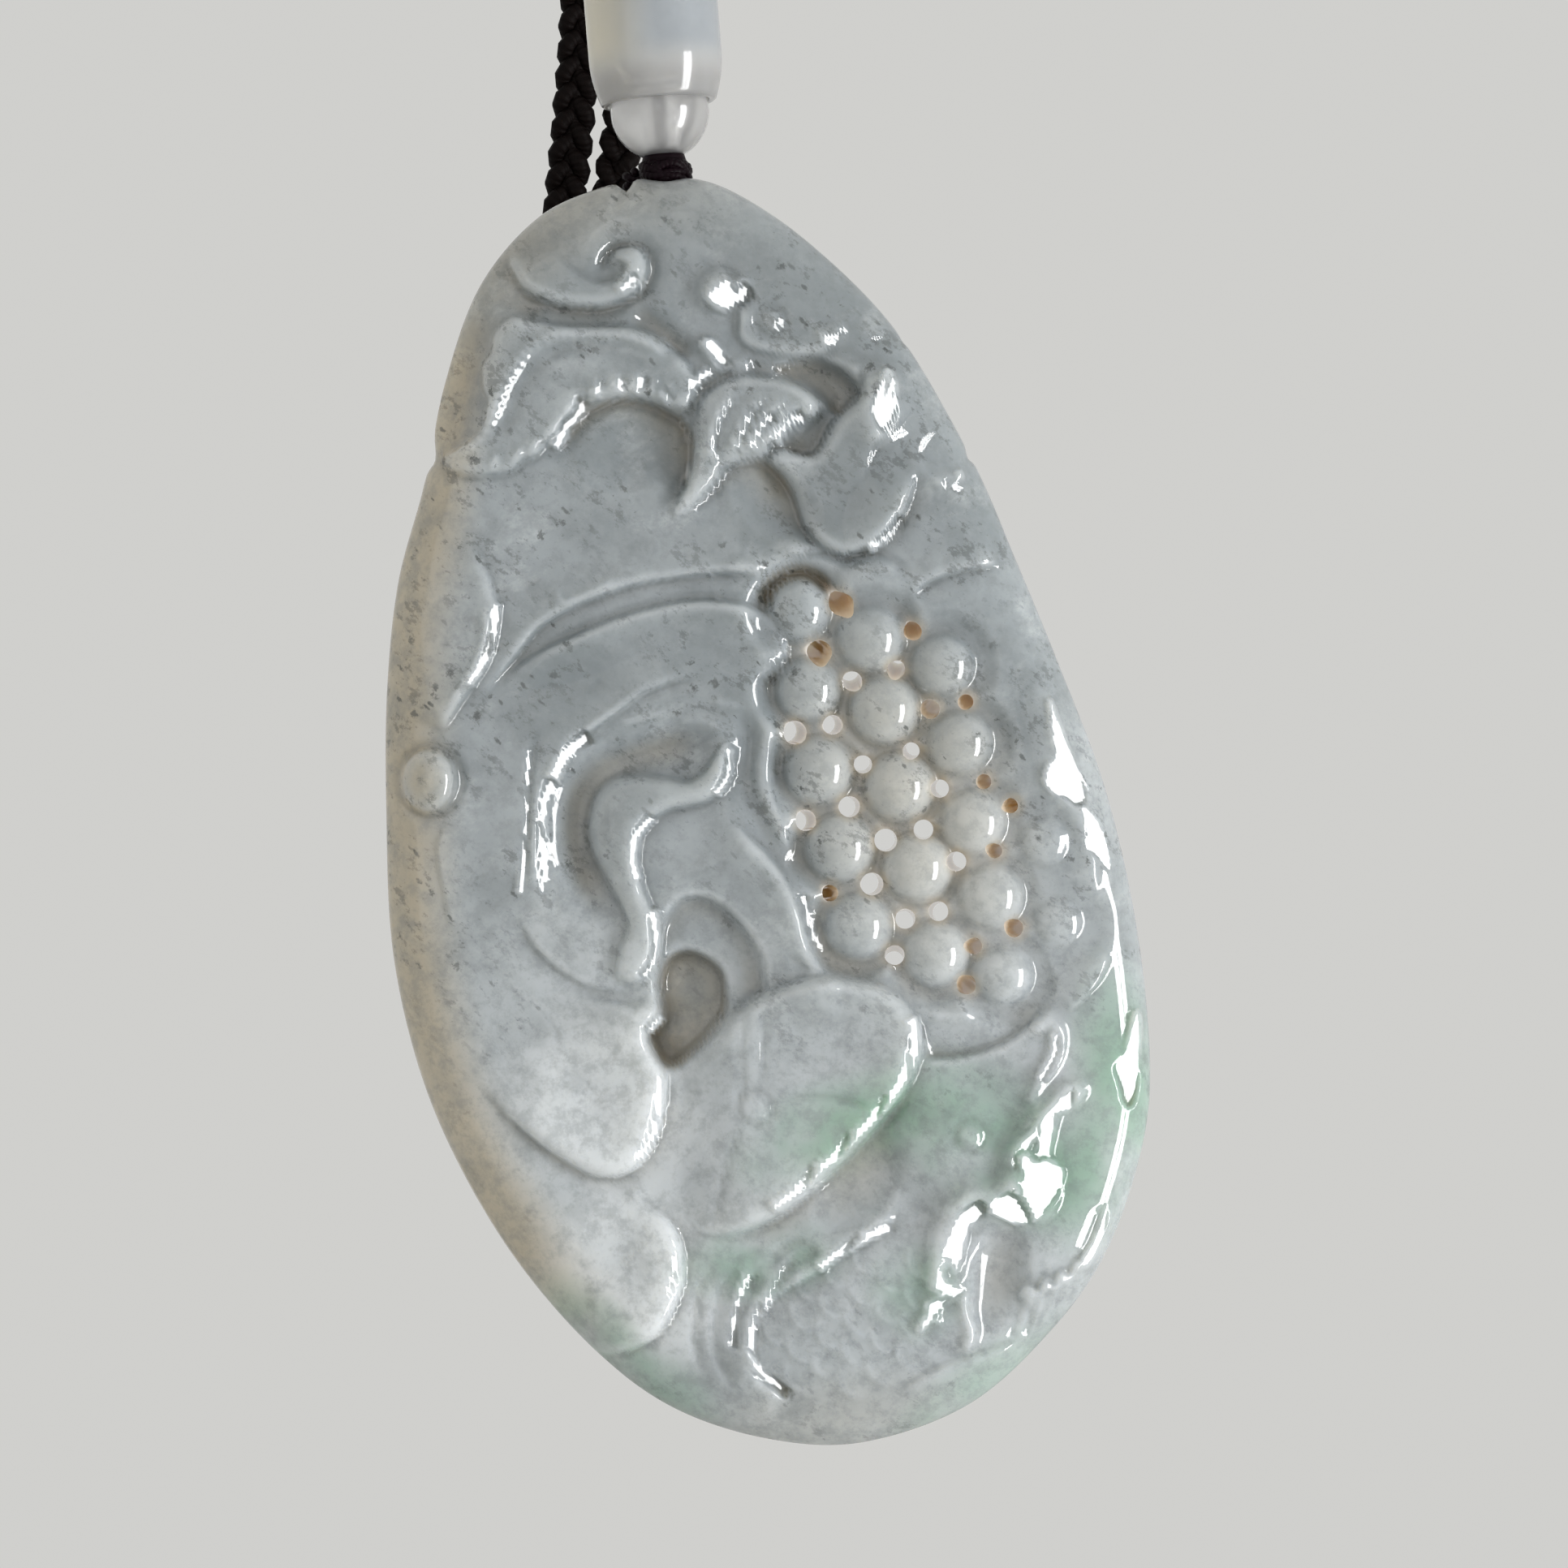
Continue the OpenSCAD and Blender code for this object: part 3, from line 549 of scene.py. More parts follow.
    def blurred(self, spread):
        """The heights, softened by a bell of this spread in mm, worked out wave by wave."""
        fy = np.fft.fftfreq(len(self.up), self.step)[:, None]
        fx = np.fft.rfftfreq(len(self.across), self.step)[None, :]
        bell = np.exp(-2 * (np.pi * spread) ** 2 * (fx**2 + fy**2))
        return np.fft.irfft2(np.fft.rfft2(self.height) * bell, self.height.shape)

    def look_up(self, values, x, y):
        """A map's values at any places, straight between the four nearest points of the map."""
        i = np.clip((x - self.across[0]) / self.step, 0, len(self.across) - 1.001)
        j = np.clip((y - self.up[0]) / self.step, 0, len(self.up) - 1.001)
        i0, j0 = i.astype(int), j.astype(int)
        s, t = i - i0, j - j0
        return (values[j0, i0] * (1 - s) * (1 - t) + values[j0, i0 + 1] * s * (1 - t)
                + values[j0 + 1, i0] * (1 - s) * t + values[j0 + 1, i0 + 1] * s * t)


def carve_top(r):
    """Curled cloud, two wings, head and hanging leaf."""
    # cloud with its curl
    r.mound((-12.6, 36.6), 5.6, 4.0, 10, 0.35)
    r.ledge(((-17.4, 37.4), (-17.2, 36), (-16.4, 34.5), (-15.4, 33.8), (-14, 33.3), (-12, 33.1),
             (-10.5, 33.3), (-9, 34), (-8.2, 35), (-8.05, 36), (-8.5, 36.9), (-9.4, 37.2), (-10.3, 36.9),
             (-10.7, 36.1)), 0.85, 0.9, 4.5, (0.12, 0.08), 0.8, 2.0)
    r.mound((-9.4, 35.5), 1.5, 1.35, 0, 0.55)
    r.line(((-11.1, 35.3), (-10.9, 36.4), (-9.9, 37.0), (-8.9, 36.9)), -0.5, 0.34, 0.25)
    r.mound((-10.0, 40.4), 1.1, 0.5, 70, -0.35)
    r.mound((-9.9, 38.5), 0.9, 0.4, 5, -0.2)
    # channel from under the cloud down to the wings, and the low left edge
    r.line(((-9.4, 32.9), (-8.2, 32.3), (-6.9, 31.3), (-5.9, 30.3), (-5.3, 29.5)), -0.75, 0.8, 0.25)
    r.line(((-18.6, 35.2), (-17.8, 33.9), (-16.4, 33.2), (-14.6, 32.7)), -0.5, 0.7, 0.3)
    r.mound((-20.7, 28.4), 6.8, 2.3, 76, -1.3, 1.2)
    # left wing
    r.plateau(((-21.8, 23.1), (-20.5, 24), (-19.6, 24.4), (-18.9, 25.2), (-18.7, 26.5), (-18.6, 27.1),
               (-19, 27.8), (-19.1, 29.3), (-18.6, 30.0), (-18.4, 30.4), (-18.3, 31.2), (-17.5, 32.2),
               (-16.7, 32.6), (-15.5, 32.3), (-13, 31.9), (-10, 31.9), (-8, 31.6), (-6.5, 30.7),
               (-5.3, 29.3), (-4.9, 28), (-5.3, 26.4), (-6.5, 26.5), (-8, 27), (-10, 27.2), (-11.3, 27),
               (-12.3, 26.6), (-12.7, 26), (-13.5, 25.4), (-13.9, 24.8), (-14.8, 24.1), (-15.3, 23.4),
               (-16.3, 22.9), (-17, 22.3), (-18.7, 22.0), (-20.5, 22.2)), 0.85, 0.8)
    r.line(((-21, 23.7), (-19.4, 24.3), (-18.3, 26), (-17.4, 28.2), (-16.1, 30), (-14.8, 31), (-13, 31.4),
            (-10, 31.3), (-8, 30.8), (-6.6, 29.8)), 0.36, 0.42, 0.08, 0.62)
    r.line(((-19.6, 23.8), (-17.5, 25.4), (-16.5, 27.6), (-15.3, 29.4), (-13.5, 30.4), (-11, 30.7)), -0.3,
           0.6, 0.2)
    r.mound((-11.8, 29.0), 5.2, 1.6, -8, 0.25)
    for x, y in ((-11.7, 27.1), (-10.6, 27.4), (-9.4, 27.4), (-8.2, 27.2), (-7.1, 26.9)):
        r.line(((x, y), (x + 0.45, y + 0.7), (x + 0.75, y + 1.5)), 0.3, 0.2, 0.3)
    for x, y, lean in ((-18.4, 22.3, 0.9), (-16.9, 22.7, 1.0), (-15.8, 23.2, 1.0), (-14.9, 23.9, 1.0),
                       (-14.2, 24.5, 0.9), (-13.5, 25.3, 0.7), (-12.7, 26.2, 0.6)):
        r.line(((x, y), (x + 0.4 * lean, y + 0.7), (x + 0.6 * lean, y + 1.4)), 0.3, 0.22, 0.3)
    # the hollow that the two wings frame
    r.ledge(((-15.0, 23.4), (-13.6, 25.1), (-12.6, 26.2), (-11, 26.95), (-9, 27.1), (-7, 26.5), (-5.5, 25.4),
             (-5.15, 23.8), (-5.35, 22.2), (-6, 20.9), (-6.8, 20.1)), 0, 1.0, 1.0, (0.15, 0.15), 1.3, 3.4)
    r.mound((-8.2, 24.0), 4.6, 3.0, 20, -0.75, 1.4)
    # right wing and its feathers
    r.plateau(((-6.4, 19.4), (-5.6, 21.2), (-5.2, 22.8), (-5.1, 24.4), (-4.9, 26), (-4.4, 27.2), (-3.4, 28.1),
               (-2, 28.6), (-0.5, 28.6), (1, 28.3), (2.5, 27.6), (3.2, 26.6), (2.8, 25.9), (1.8, 25.8),
               (1.0, 25.1), (0.3, 24.2), (-0.2, 23.3), (-1.2, 23.1), (-2.2, 22.8), (-3.1, 22.5), (-3.4, 21.8),
               (-4.3, 20.7), (-5.3, 19.9)), 1.05, 0.8)
    for feather in (
        ((-3.5, 22.7), (-3.6, 24.5), (-3.0, 26.2), (-1.9, 27.7)),
        ((-2.5, 22.9), (-2.0, 24.5), (-1.1, 26.1), (0.3, 27.6)),
        ((-1.6, 23.1), (-1.0, 24.5), (0.1, 25.9), (1.6, 27.1)),
        ((-0.4, 23.5), (0.4, 24.6), (1.5, 25.6), (2.6, 25.9)),
    ):
        r.ledge(feather, 0.6, 0.35, 1.2, (0.15, 0.3), 0.3, 0.5)
    # deep recess between wing and leaf, and its shallow lower arm
    r.plateau(((0.2, 29.2), (2.5, 29.9), (4, 29.6), (5.3, 28.8), (5.9, 27.6), (5.3, 26.7), (4.6, 26.1),
               (3.9, 26.4), (3.3, 27.0), (2.2, 27.9), (1.0, 28.5)), -1.35, 1.4)
    r.plateau(((4.7, 26.6), (3.9, 25.2), (3.5, 24.3), (2.8, 23.5), (1.9, 23.4), (1.0, 23.7), (1.3, 24.8),
               (2.4, 25.6), (3.3, 26.6)), -0.5, 1.0)
    # hanging leaf, and the shade under it
    r.ledge(((6.3, 29.6), (6.1, 28.0), (5.6, 26.9), (4.8, 26.3), (3.9, 25.1), (3.4, 24.1), (2.6, 23.4),
             (0.6, 23.8), (-0.1, 23.0), (0.7, 22.3), (1.4, 21.2), (1.8, 20), (2.2, 18.8), (3, 17.8),
             (4, 17.1), (5, 16.9), (6.5, 17.3), (7.6, 18.0), (8.5, 19.1), (9.1, 20.2), (9.5, 21.5),
             (9.9, 23.0)), 0.95, 1.1, 6.0, (0.1, 0.12), 0.55, 1.6)
    r.mound((6.4, 23.0), 6.4, 4.0, 84, 0.5)
    r.line(((7.7, 29.8), (7.3, 27.6), (7.0, 25.4), (7.2, 23.6)), 0.75, 1.5)
    r.ring((11.4, 23.6), 1.8, 0.18, 0.4)
    r.line(((10.6, 21.4), (11.8, 21.8), (13.0, 22.3)), 0.28, 0.5)
    r.mound((0.4, 20.4), 3.6, 2.4, -40, -0.9, 1.5)
    r.ledge(((1.6, 20.2), (1.3, 21.2), (0.6, 22.2), (-0.3, 22.9), (-1.2, 23.05), (-2.3, 22.7), (-3.2, 22.1),
             (-4.2, 20.9), (-5.6, 19.7))[::-1], 0, 1.0, 1.0, (0.25, 0.2), 0.8, 3.0)
    # head with its eye, brow, nose and cheek
    r.mound((-0.4, 32.6), 5.6, 3.6, -18, 0.55)
    r.ring((0.1, 32.2), 1.0, -0.2, 0.2)
    r.mound((0.1, 32.2), 0.9, 0.9, 0, 0.25, 1.0)
    r.ledge(((-2.0, 33.8), (-2.1, 31.9), (-2.0, 31), (-1.2, 30.4), (0, 30.1), (2, 30), (3.6, 30.2),
             (4.8, 30.8)), 0.5, 0.5, 2.2, (0.15, 0.15), 0.25, 1.2)
    r.line(((3.0, 31.0), (4.0, 31.3), (5.1, 31.8)), 0.4, 0.4)
    r.mound((-3.7, 34.4), 1.8, 1.5, 50, 0.85)
    r.mound((-1.9, 34.5), 1.1, 0.9, 40, 0.5)
    r.line(((-2.6, 32.9), (-2.6, 33.8), (-2.7, 34.8)), -0.35, 0.25)
    r.line(((-4.6, 31.2), (-4.0, 30.3), (-3.4, 29.6), (-2.2, 29.2), (-1.0, 29.3)), 0.6, 0.55, 0.15)
    r.line(((-3.2, 29.3), (-4.2, 28.9), (-5.0, 28.1), (-5.6, 27.6)), 0.45, 0.33, 0.2)
    r.line(((-4.6, 29.4), (-4.2, 27.9), (-2.8, 28.9), (-1, 29.1), (1.4, 28.9)), -0.3, 0.4, 0.2)
    r.mound((5.5, 29.0), 0.9, 0.7, 40, 0.35)
    r.line(((6.4, 30.7), (7.6, 31.0), (8.9, 31.2)), -0.35, 0.35)
    r.line(((-1.2, 36.8), (-0.6, 37.4), (-0.1, 38.0)), -0.12, 0.22)
    r.line(((-4.1, 36.0), (-3.5, 35.6)), -0.15, 0.22)


def carve_middle(r):
    """Long bud and pearl at the left edge, the rolled leaf with its curl, and the arch over the pocket."""
    r.ledge(((-21.6, 4.9), (-20.6, 6.7), (-19.5, 8.3), (-18.5, 9.7), (-18, 11.3), (-17.9, 13.3), (-18.3, 15),
             (-19, 16.8), (-20, 18.8)), 0.75, 0.9, 5.0, (0.1, 0.35), 0.15, 1.2)
    r.line(((-18.9, 13.9), (-18.6, 12.2), (-18.7, 10.8), (-19.3, 9.5), (-20.4, 7.8), (-21.2, 6.2)), 0.3, 0.35)
    r.ring((-22.5, 2.0), 2.2, -0.3, 0.35)
    r.mound((-22.5, 2.0), 2.3, 1.85, 88, 1.3, 0.5)
    r.ledge(((-21.2, -0.6), (-21.9, -2.0), (-21.9, -3.4), (-21.5, -5.4), (-21, -8)), 0.25, 0.4, 2.0)
    # valley and lip over the rolled leaf
    r.ledge(((-19.4, 6.6), (-18, 8.6), (-16.5, 10.5), (-15, 12.2), (-13, 13.4), (-11, 14.2), (-8, 15.1),
             (-3, 15.7), (-0.2, 15.8)), 0.45, 0.45, 3.4, (0.25, 0.08), 0.5, 2.2)
    r.line(((-13.9, 15.0), (-13.9, 14.2), (-13.4, 13.7), (-12, 14.2), (-9.8, 15.3)), 0.16, 0.22)
    r.line(((-3, 15.7), (-1.6, 15.85), (-0.4, 15.95)), 0.3, 0.32)
    r.ledge(((-1.4, 8.4), (-0.2, 8.7), (0.6, 9.2), (1.1, 10.1), (1.15, 11), (0.8, 12), (0, 12.9),
             (-1, 13.4), (-2.4, 13.75), (-4, 13.9), (-6, 13.8), (-9, 13.1), (-11, 12.4), (-13, 11.5),
             (-15, 10.6), (-17, 9.2), (-18.6, 7.4)), 0.75, 1.0, 3.2, (0.08, 0.3), 0.35, 1.2)
    # the leaf's strong outer turn
    r.ledge(((-14.6, -6.6), (-15.0, -4.8), (-15.3, -3), (-15.25, -1), (-15.0, 0.5), (-14.3, 2.5),
             (-13.1, 4.3), (-11.6, 5.4), (-10.1, 6.5), (-8.6, 7.6), (-7, 8.3), (-5.5, 8.7), (-4, 8.8)), 0.4,
            0.4, 5.0, (0.15, 0.15), 0.25, 0.9)
    r.line(((-15.0, -4.4), (-15.2, -2), (-15.05, 0.4), (-14.3, 2.6), (-13.0, 4.5), (-11.5, 5.6), (-10, 6.6),
            (-8, 7.9)), 0.28, 0.32, 0.12)
    r.line(((-10.1, 5.8), (-8.6, 6.1), (-6.7, 6.6)), 0.25, 0.25)
    r.line(((-6.2, 5.9), (-5, 6), (-3.9, 5.7), (-3, 5.2)), 0.22, 0.3)
    r.line(((-3.8, 7.2), (-2.9, 7.1), (-1.8, 6.9)), 0.2, 0.3)
    r.line(((-12, 7.7), (-11.5, 8), (-11, 8.6)), -0.12, 0.2)
    r.line(((-14.9, 5.5), (-15.4, 4.3), (-15.9, 2), (-16.1, 0), (-16.2, -3), (-16.5, -5.6)), -0.2, 0.25, 0.15)
    r.ledge(((-16.8, -6.5), (-15.6, -8.8), (-14, -10.3), (-12.4, -11.3), (-10.2, -11.7), (-8.6, -11)),
            0.3, 0.6, 4.0, (0.3, 0.3), 0.35, 3.0)
    # trough round the curl, and the curl
    r.line(((-2.8, 5.2), (-6, 4.4), (-9, 3.5), (-11, 2.6), (-12.3, 1.2), (-12.7, -0.6), (-12.6, -2.6),
            (-12, -4.4), (-11.2, -6.2), (-10.6, -8)), -1.45, 1.6, 0.22)
    r.plateau(((-2.9, 4.6), (-2.5, 3), (-2.9, 1.7), (-4.1, 0.7), (-5.6, 0.3), (-6.8, 0), (-7.9, -0.8),
               (-8.5, -2), (-8.6, -3.6), (-8.2, -5.2), (-7.6, -6.8), (-7.3, -8.4), (-7.6, -10),
               (-8.6, -11.2), (-10, -11), (-10, -9.4), (-9.4, -7.6), (-9.9, -6.1), (-10.7, -4.8),
               (-11.5, -3.3), (-12, -1.8), (-12, -0.4), (-11.5, 1.1), (-10.5, 2.1), (-9, 2.4), (-7, 2.2),
               (-5.4, 2), (-4.4, 2.6), (-3.6, 3.6)), 1.0, 1.0)
    r.ledge(((-9.6, -11.9), (-8.5, -11.2), (-7.6, -10), (-7.3, -8.4), (-7.7, -6.8), (-8.3, -5.2),
             (-8.7, -3.8), (-8.6, -2), (-8, -0.8), (-6.8, 0), (-5.6, 0.3), (-4.1, 0.7), (-2.9, 1.7),
             (-2.6, 3), (-2.9, 4.6)), 0.25, 0.5, 2.2, (0.1, 0.1), 0.35, 2.2)
    # leaf that leads down to the cob's pocket, and the strip between
    r.ledge(((5.2, -10.7), (3.8, -10.4), (3, -9.3), (2.5, -8), (1.8, -6), (1, -4.3), (0, -3), (-1.5, -1.5),
             (-2.8, -0.1)), 0.75, 0.9, 5.0, (0.1, 0.2), 0.3, 1.6)
    r.line(((-1.6, 7.4), (-1.5, 4.8), (-1.6, 2.2), (-1.2, 0.4), (0, -1.6), (1.3, -3.4), (2.2, -5.2)), -0.55,
           0.85)
    # arch and deep pocket
    r.plateau(((-6.3, -6.0), (-5.2, -5.5), (-4, -5.7), (-2.8, -6.4), (-1.5, -7.8), (-0.6, -9.3),
               (-0.3, -11), (-0.5, -11.9), (-1.3, -12.5), (-2.9, -13.7), (-4, -15), (-5.2, -16.2),
               (-6.2, -16.9), (-7, -16.8), (-7.7, -15.7), (-8, -14.8), (-7.3, -13.5), (-7.6, -11.5),
               (-7.5, -9.5), (-7.2, -7.5)), -1.3, 1.2)
    r.plateau(((-7.0, -10.0), (-6.2, -9.3), (-5.2, -9.2), (-4.2, -9.6), (-3.3, -10.3), (-2.9, -11.3),
               (-2.9, -13.3), (-4, -15), (-5, -16), (-5.8, -16.7), (-6.6, -16.9), (-7.3, -16.5),
               (-7.8, -15.6), (-8, -14.8), (-7.2, -13.7), (-7.5, -11.5)), -1.8, 0.7)


def carve_cob(r):
    """The cob: round seeds in their bed, the brow over it, its husk and the cup below."""
    r.ledge(((0.6, 16.6), (1.6, 16.9), (3.4, 17.1), (4.8, 16.9)), 0.4, 0.4, 1.6, (0.3, 0.3), 0.3, 1.2)
    r.mound((6.7, 14.9), 2.5, 2.2, -12, 0.45, 1.0)
    r.line(((4.5, 16.0), (5.4, 16.8), (6.6, 17.0), (8, 16.5), (9.4, 15.4)), -0.25, 0.3)
    r.ledge(((9.3, 14.0), (9.8, 14.6), (10.4, 15), (11.5, 15.5), (13, 15.9), (15.2, 16.2)), 0.5, 0.5, 4.0,
            (0.15, 0.12), 0.3, 1.8)
    r.ledge(((1.9, -3.4), (0.9, -1), (0.3, 0.8), (0.1, 3), (0.15, 5.4), (0.3, 7.4)), 0.35, 0.4, 1.3,
            (0.2, 0.2))
    r.seeds(SEEDS)
    r.line(((-0.4, 13.4), (-0.1, 14.6), (0.9, 15.5), (2.1, 15.8), (3.3, 15.3), (3.9, 14.4)), -1.5, 0.38, 0.12)
    r.mound((1.9, -10.0), 1.2, 0.6, -40, -0.3)
    # husk at the right edge
    r.line(((17.3, 9.5), (18.2, 6.6), (18.9, 4.2), (19.8, 1.6), (21, -1), (21.8, -4)), 0.55, 1.2)
    r.ledge(((21.6, -6), (21.6, -3.6), (20.9, -1), (19.9, 1), (18.8, 2.6)), 0.3, 0.6, 2.4)
    r.ledge(((19.6, -13.4), (20.8, -12.2), (21.8, -11), (22.5, -9.3)), 0.4, 0.4, 2.6)
    # cup under the seeds
    r.ledge(((18.6, -12.6), (17.2, -14.0), (15.1, -15.4), (12.2, -16.2), (9.9, -16.2)), 0.3, 0.5, 2.2,
            (0.2, 0.1), 0.7, 2.6)
    r.line(((10.2, -13.3), (12, -13.5), (13.6, -13.1)), 0.25, 0.35)


def carve_bottom(r):
    """Two smooth lobes, the lotus leaf, and the carp with its fins, scales, head and whiskers."""
    r.ledge(((-19.5, -17.5), (-18.5, -18.7), (-17, -20.3), (-15, -22), (-13, -23.3), (-11.5, -24), (-10, -24),
             (-8.6, -23.3), (-7.8, -22), (-7.1, -20), (-6.8, -18), (-7, -17), (-7.7, -15.7), (-8, -14.6),
             (-7.3, -13.4), (-7.4, -12)), 1.35, 1.6, 7.0, (0.25, 0.05), 0.55, 2.8)
    r.line(((-8.2, -14.4), (-7.6, -14.0), (-7.3, -13.4)), 0.25, 0.3)
    r.line(((-17.6, -20.2), (-15.6, -21.8), (-13.2, -23.6), (-11.4, -24.8)), -0.14, 0.3, 0.2, 0.8)
    r.ledge(((-12.5, -36), (-10.8, -35.9), (-8.5, -35.2), (-7, -34), (-6, -32), (-5.6, -30), (-6, -28),
             (-6.9, -26.7), (-8.3, -26.0), (-10, -25.6)), 1.15, 1.8, 6.5, (0.12, 0.3), 0.5, 2.6)
    r.mound((-8.8, -25.3), 0.8, 0.6, 20, 0.3)
    # lotus leaf, lower towards its left edge, dished, with a thick lip, a knob and veins
    r.plateau(((-4.5, -15.6), (-3, -13.9), (-1.5, -12.6), (0, -11.7), (2, -11), (4, -10.8), (6, -11),
               (7.5, -11.5), (8.8, -12.4), (9.7, -13.8), (10.05, -15.2), (9.7, -16.8), (8.9, -18.3),
               (7.6, -20), (5.6, -22.3), (3.6, -24.2), (1.6, -25.9), (-0.2, -27), (-3, -28), (-4.6, -27.6),
               (-5.6, -26), (-6, -23), (-6.2, -20), (-5.9, -17.5)), 1.5, 1.3,
              share=lambda x, y: ease((x + 6.4) / 5.5))
    r.mound((2.2, -17.8), 8.0, 5.6, 38, -0.5, 1.4)
    r.ring((-1.0, -19.4), 1.15, -0.22, 0.18)
    r.mound((-1.0, -19.4), 1.0, 1.0, 0, 0.2, 1.0)
    r.ring((-0.8, -19.3), 0.4, -0.15, 0.15)
    for vein in (((-2.2, -19.4), (-1.8, -17.9), (-1.9, -15.6), (-1.5, -13.0)),
                 ((-0.6, -18.0), (-0.5, -16), (-0.2, -12.8)),
                 ((0.5, -19.1), (2.2, -18.7), (4.4, -18.8), (6.6, -19.5)),
                 ((-1.7, -20.7), (-2.5, -22.2), (-3.1, -24.4), (-3.6, -27.4))):
        r.line(vein, -0.22, 0.2, 0.15)
    # hollow between leaf and carp
    r.ledge(((10.1, -16.6), (9.0, -18.4), (7.7, -20.1), (5.7, -22.4), (3.7, -24.3), (1.7, -26.0),
             (-0.2, -27.2), (-3, -28.3))[::-1], 0, 1.0, 1.0, (0.2, 0.2), 0.6, 3.4)
    r.mound((6.0, -24.7), 4.4, 2.3, 52, -0.85, 1.2)
    # tail fin and its rays
    r.ledge(((1.6, -38.7), (0.4, -38), (-0.6, -37.3), (-1.2, -36.5), (-1.35, -35.2), (-1, -33.8),
             (-0.2, -32.6), (1, -31.5), (3, -30.4), (4, -29.7), (5.5, -28.8), (7, -28), (7.9, -27.3),
             (8.3, -26)), 0.6, 0.8, 3.6, (0.08, 0.08), 0.35, 1.5)
    for ray in (((-3.6, -29.6), (-4.8, -31.2), (-5.15, -33), (-5.2, -35), (-4.6, -37.4)),
                ((-2.2, -29.6), (-3.5, -31.7), (-3.9, -34), (-3.7, -36), (-2.4, -38.5)),
                ((-0.6, -29.6), (-1.8, -31.5), (-2.35, -33), (-2.45, -34.5), (-2.2, -36)),
                ((1.5, -29.4), (0.4, -30.9), (-0.4, -32.5)), ((-1.2, -30.4), (-1.3, -31), (-1.5, -31.6)),
                ((3.2, -28.4), (1.6, -29.3), (0.2, -30.6)), ((2.4, -27.9), (0.8, -28.6), (-0.4, -29.6))):
        r.ledge(ray, -0.38, 0.25, 1.1, (0.2, 0.25))
    # body, and its scales in staggered rows inside an oval of these half widths
    r.mound((5.6, -33.2), 8.8, 5.4, 22, 0.7, 1.2)
    middle, lean = (6.2, -33.2), math.radians(24)
    pitch, row_step, half_long, half_wide = 2.1, 1.75, 7.0, 4.0
    for row in range(-2, 3):
        for column in range(-3, 4):
            along = pitch * column + pitch / 2 * (row % 2)
            beside = row_step * row
            x = middle[0] + along * math.cos(lean) - beside * math.sin(lean)
            y = middle[1] + along * math.sin(lean) + beside * math.cos(lean)
            if (along / half_long) ** 2 + (beside / half_wide) ** 2 < 1:
                r.arc((x, y), 1.15, 120, 300, 0.2, 0.2)
    # head, eye, whiskers, jaw and gill
    r.mound((12.2, -22.4), 6.4, 4.2, -52, 0.85, 1.2)
    r.ring((13.1, -21.3), 1.05, -0.18, 0.2)
    r.mound((13.1, -21.3), 0.9, 0.8, 0, 0.2, 1.0)
    r.line(((17.4, -14.9), (17.8, -13.9), (18.7, -14.0), (19.0, -15.0), (18.7, -16.4), (17.6, -18),
            (16.8, -19.6)), 0.5, 0.5, 0.1)
    r.line(((20.4, -18.2), (18.9, -19.0), (17.4, -20.2), (16.5, -21.5), (15.9, -23.6)), 0.75, 0.62, 0.12)
    r.mound((20.0, -18.5), 1.4, 1.1, 30, 0.6)
    r.line(((18.6, -19.5), (18.2, -21), (17.9, -22.6)), 0.65, 0.55)
    r.mound((17.0, -24.2), 3.2, 2.3, -72, 1.35, 1.2)
    r.line(((16.6, -24.8), (15.6, -25.0), (14.4, -25.3), (13.2, -25.4), (12.1, -26.3), (11.3, -27.6),
            (11.1, -29), (11.5, -30.4)), 1.0, 0.95, 0.1)
    r.line(((11.4, -29.6), (10.6, -30.6), (10.7, -31.3), (11.9, -31.5), (13.0, -31.1)), 0.6, 0.45)
    r.line(((13.0, -31.0), (12.8, -32.6), (13.2, -34.2), (12.8, -36)), 0.55, 0.42)
    r.line(((9.9, -32.6), (10.9, -32.2), (11.8, -31.7)), 0.5, 0.35)
    r.line(((9.3, -34.4), (10.2, -33.4), (11.3, -32.9)), 0.45, 0.35)
    r.line(((16.6, -25.4), (16.6, -26.4), (16.9, -27.3)), -0.35, 0.3)
    # side fin, hollow before it, ruffled edge and rays, and the smooth border below
    r.mound((15.0, -30.8), 4.2, 2.2, 78, -1.05, 1.2)
    r.ledge(((16.0, -32), (16.9, -31.2), (17.6, -31.5), (18.0, -30.7), (18.7, -31.0), (19.1, -30.3),
             (19.7, -30.5), (20.1, -29.7), (20.8, -29.4), (21.4, -28), (22.2, -25.8))[::-1], 0.65, 0.45,
            3.4, (0.1, 0.1), 0.3, 1.6)
    for x, y in ((16.5, -31.9), (17.5, -31.7), (18.5, -31.3), (19.4, -30.9), (20.2, -30.2)):
        r.line(((x, y), (x - 0.2, y - 1.4), (x - 0.8, y - 3.0)), -0.25, 0.25)
    r.ledge(((16.4, -34.8), (14.6, -35.5), (12.6, -36.1), (10.4, -37.0), (8.2, -38.5)), 0.3, 0.4, 3.0,
            (0.2, 0.2), 0.15, 1.0)


def carved_relief():
    """The whole carving: a softened map of heights, which places are polished to planes, how sunk each
    place is, and how much painted light and painted shade it gets for light that the stone lets through.

    The painted light grows with how far a place stands out of its close surroundings, with its slope, and most
    where it falls to the left, away from the window; narrow grooves get painted shade.
    """
    r = Relief()
    for carve in (carve_top, carve_middle, carve_cob, carve_bottom):
        carve(r)
    heights, flat = faceted(r, r.blurred(SOFTNESS))
    sunk = r.blurred(SUNK_REACH) - heights
    # painted light where a place stands out of its surroundings and on slopes, most where they fall to the
    # left, away from the window; painted shade in narrow grooves
    up, right = np.gradient(r.blurred(SLOPE_REACH), r.step)
    painted_light_and_shade = heights - r.blurred(CREST_REACH)
    painted_light_and_shade += SLOPE_LIGHT * np.clip(np.hypot(up, right) + LEFT_LIGHT * right, 0, 2)
    return r, heights, flat, sunk, painted_light_and_shade


# The stone

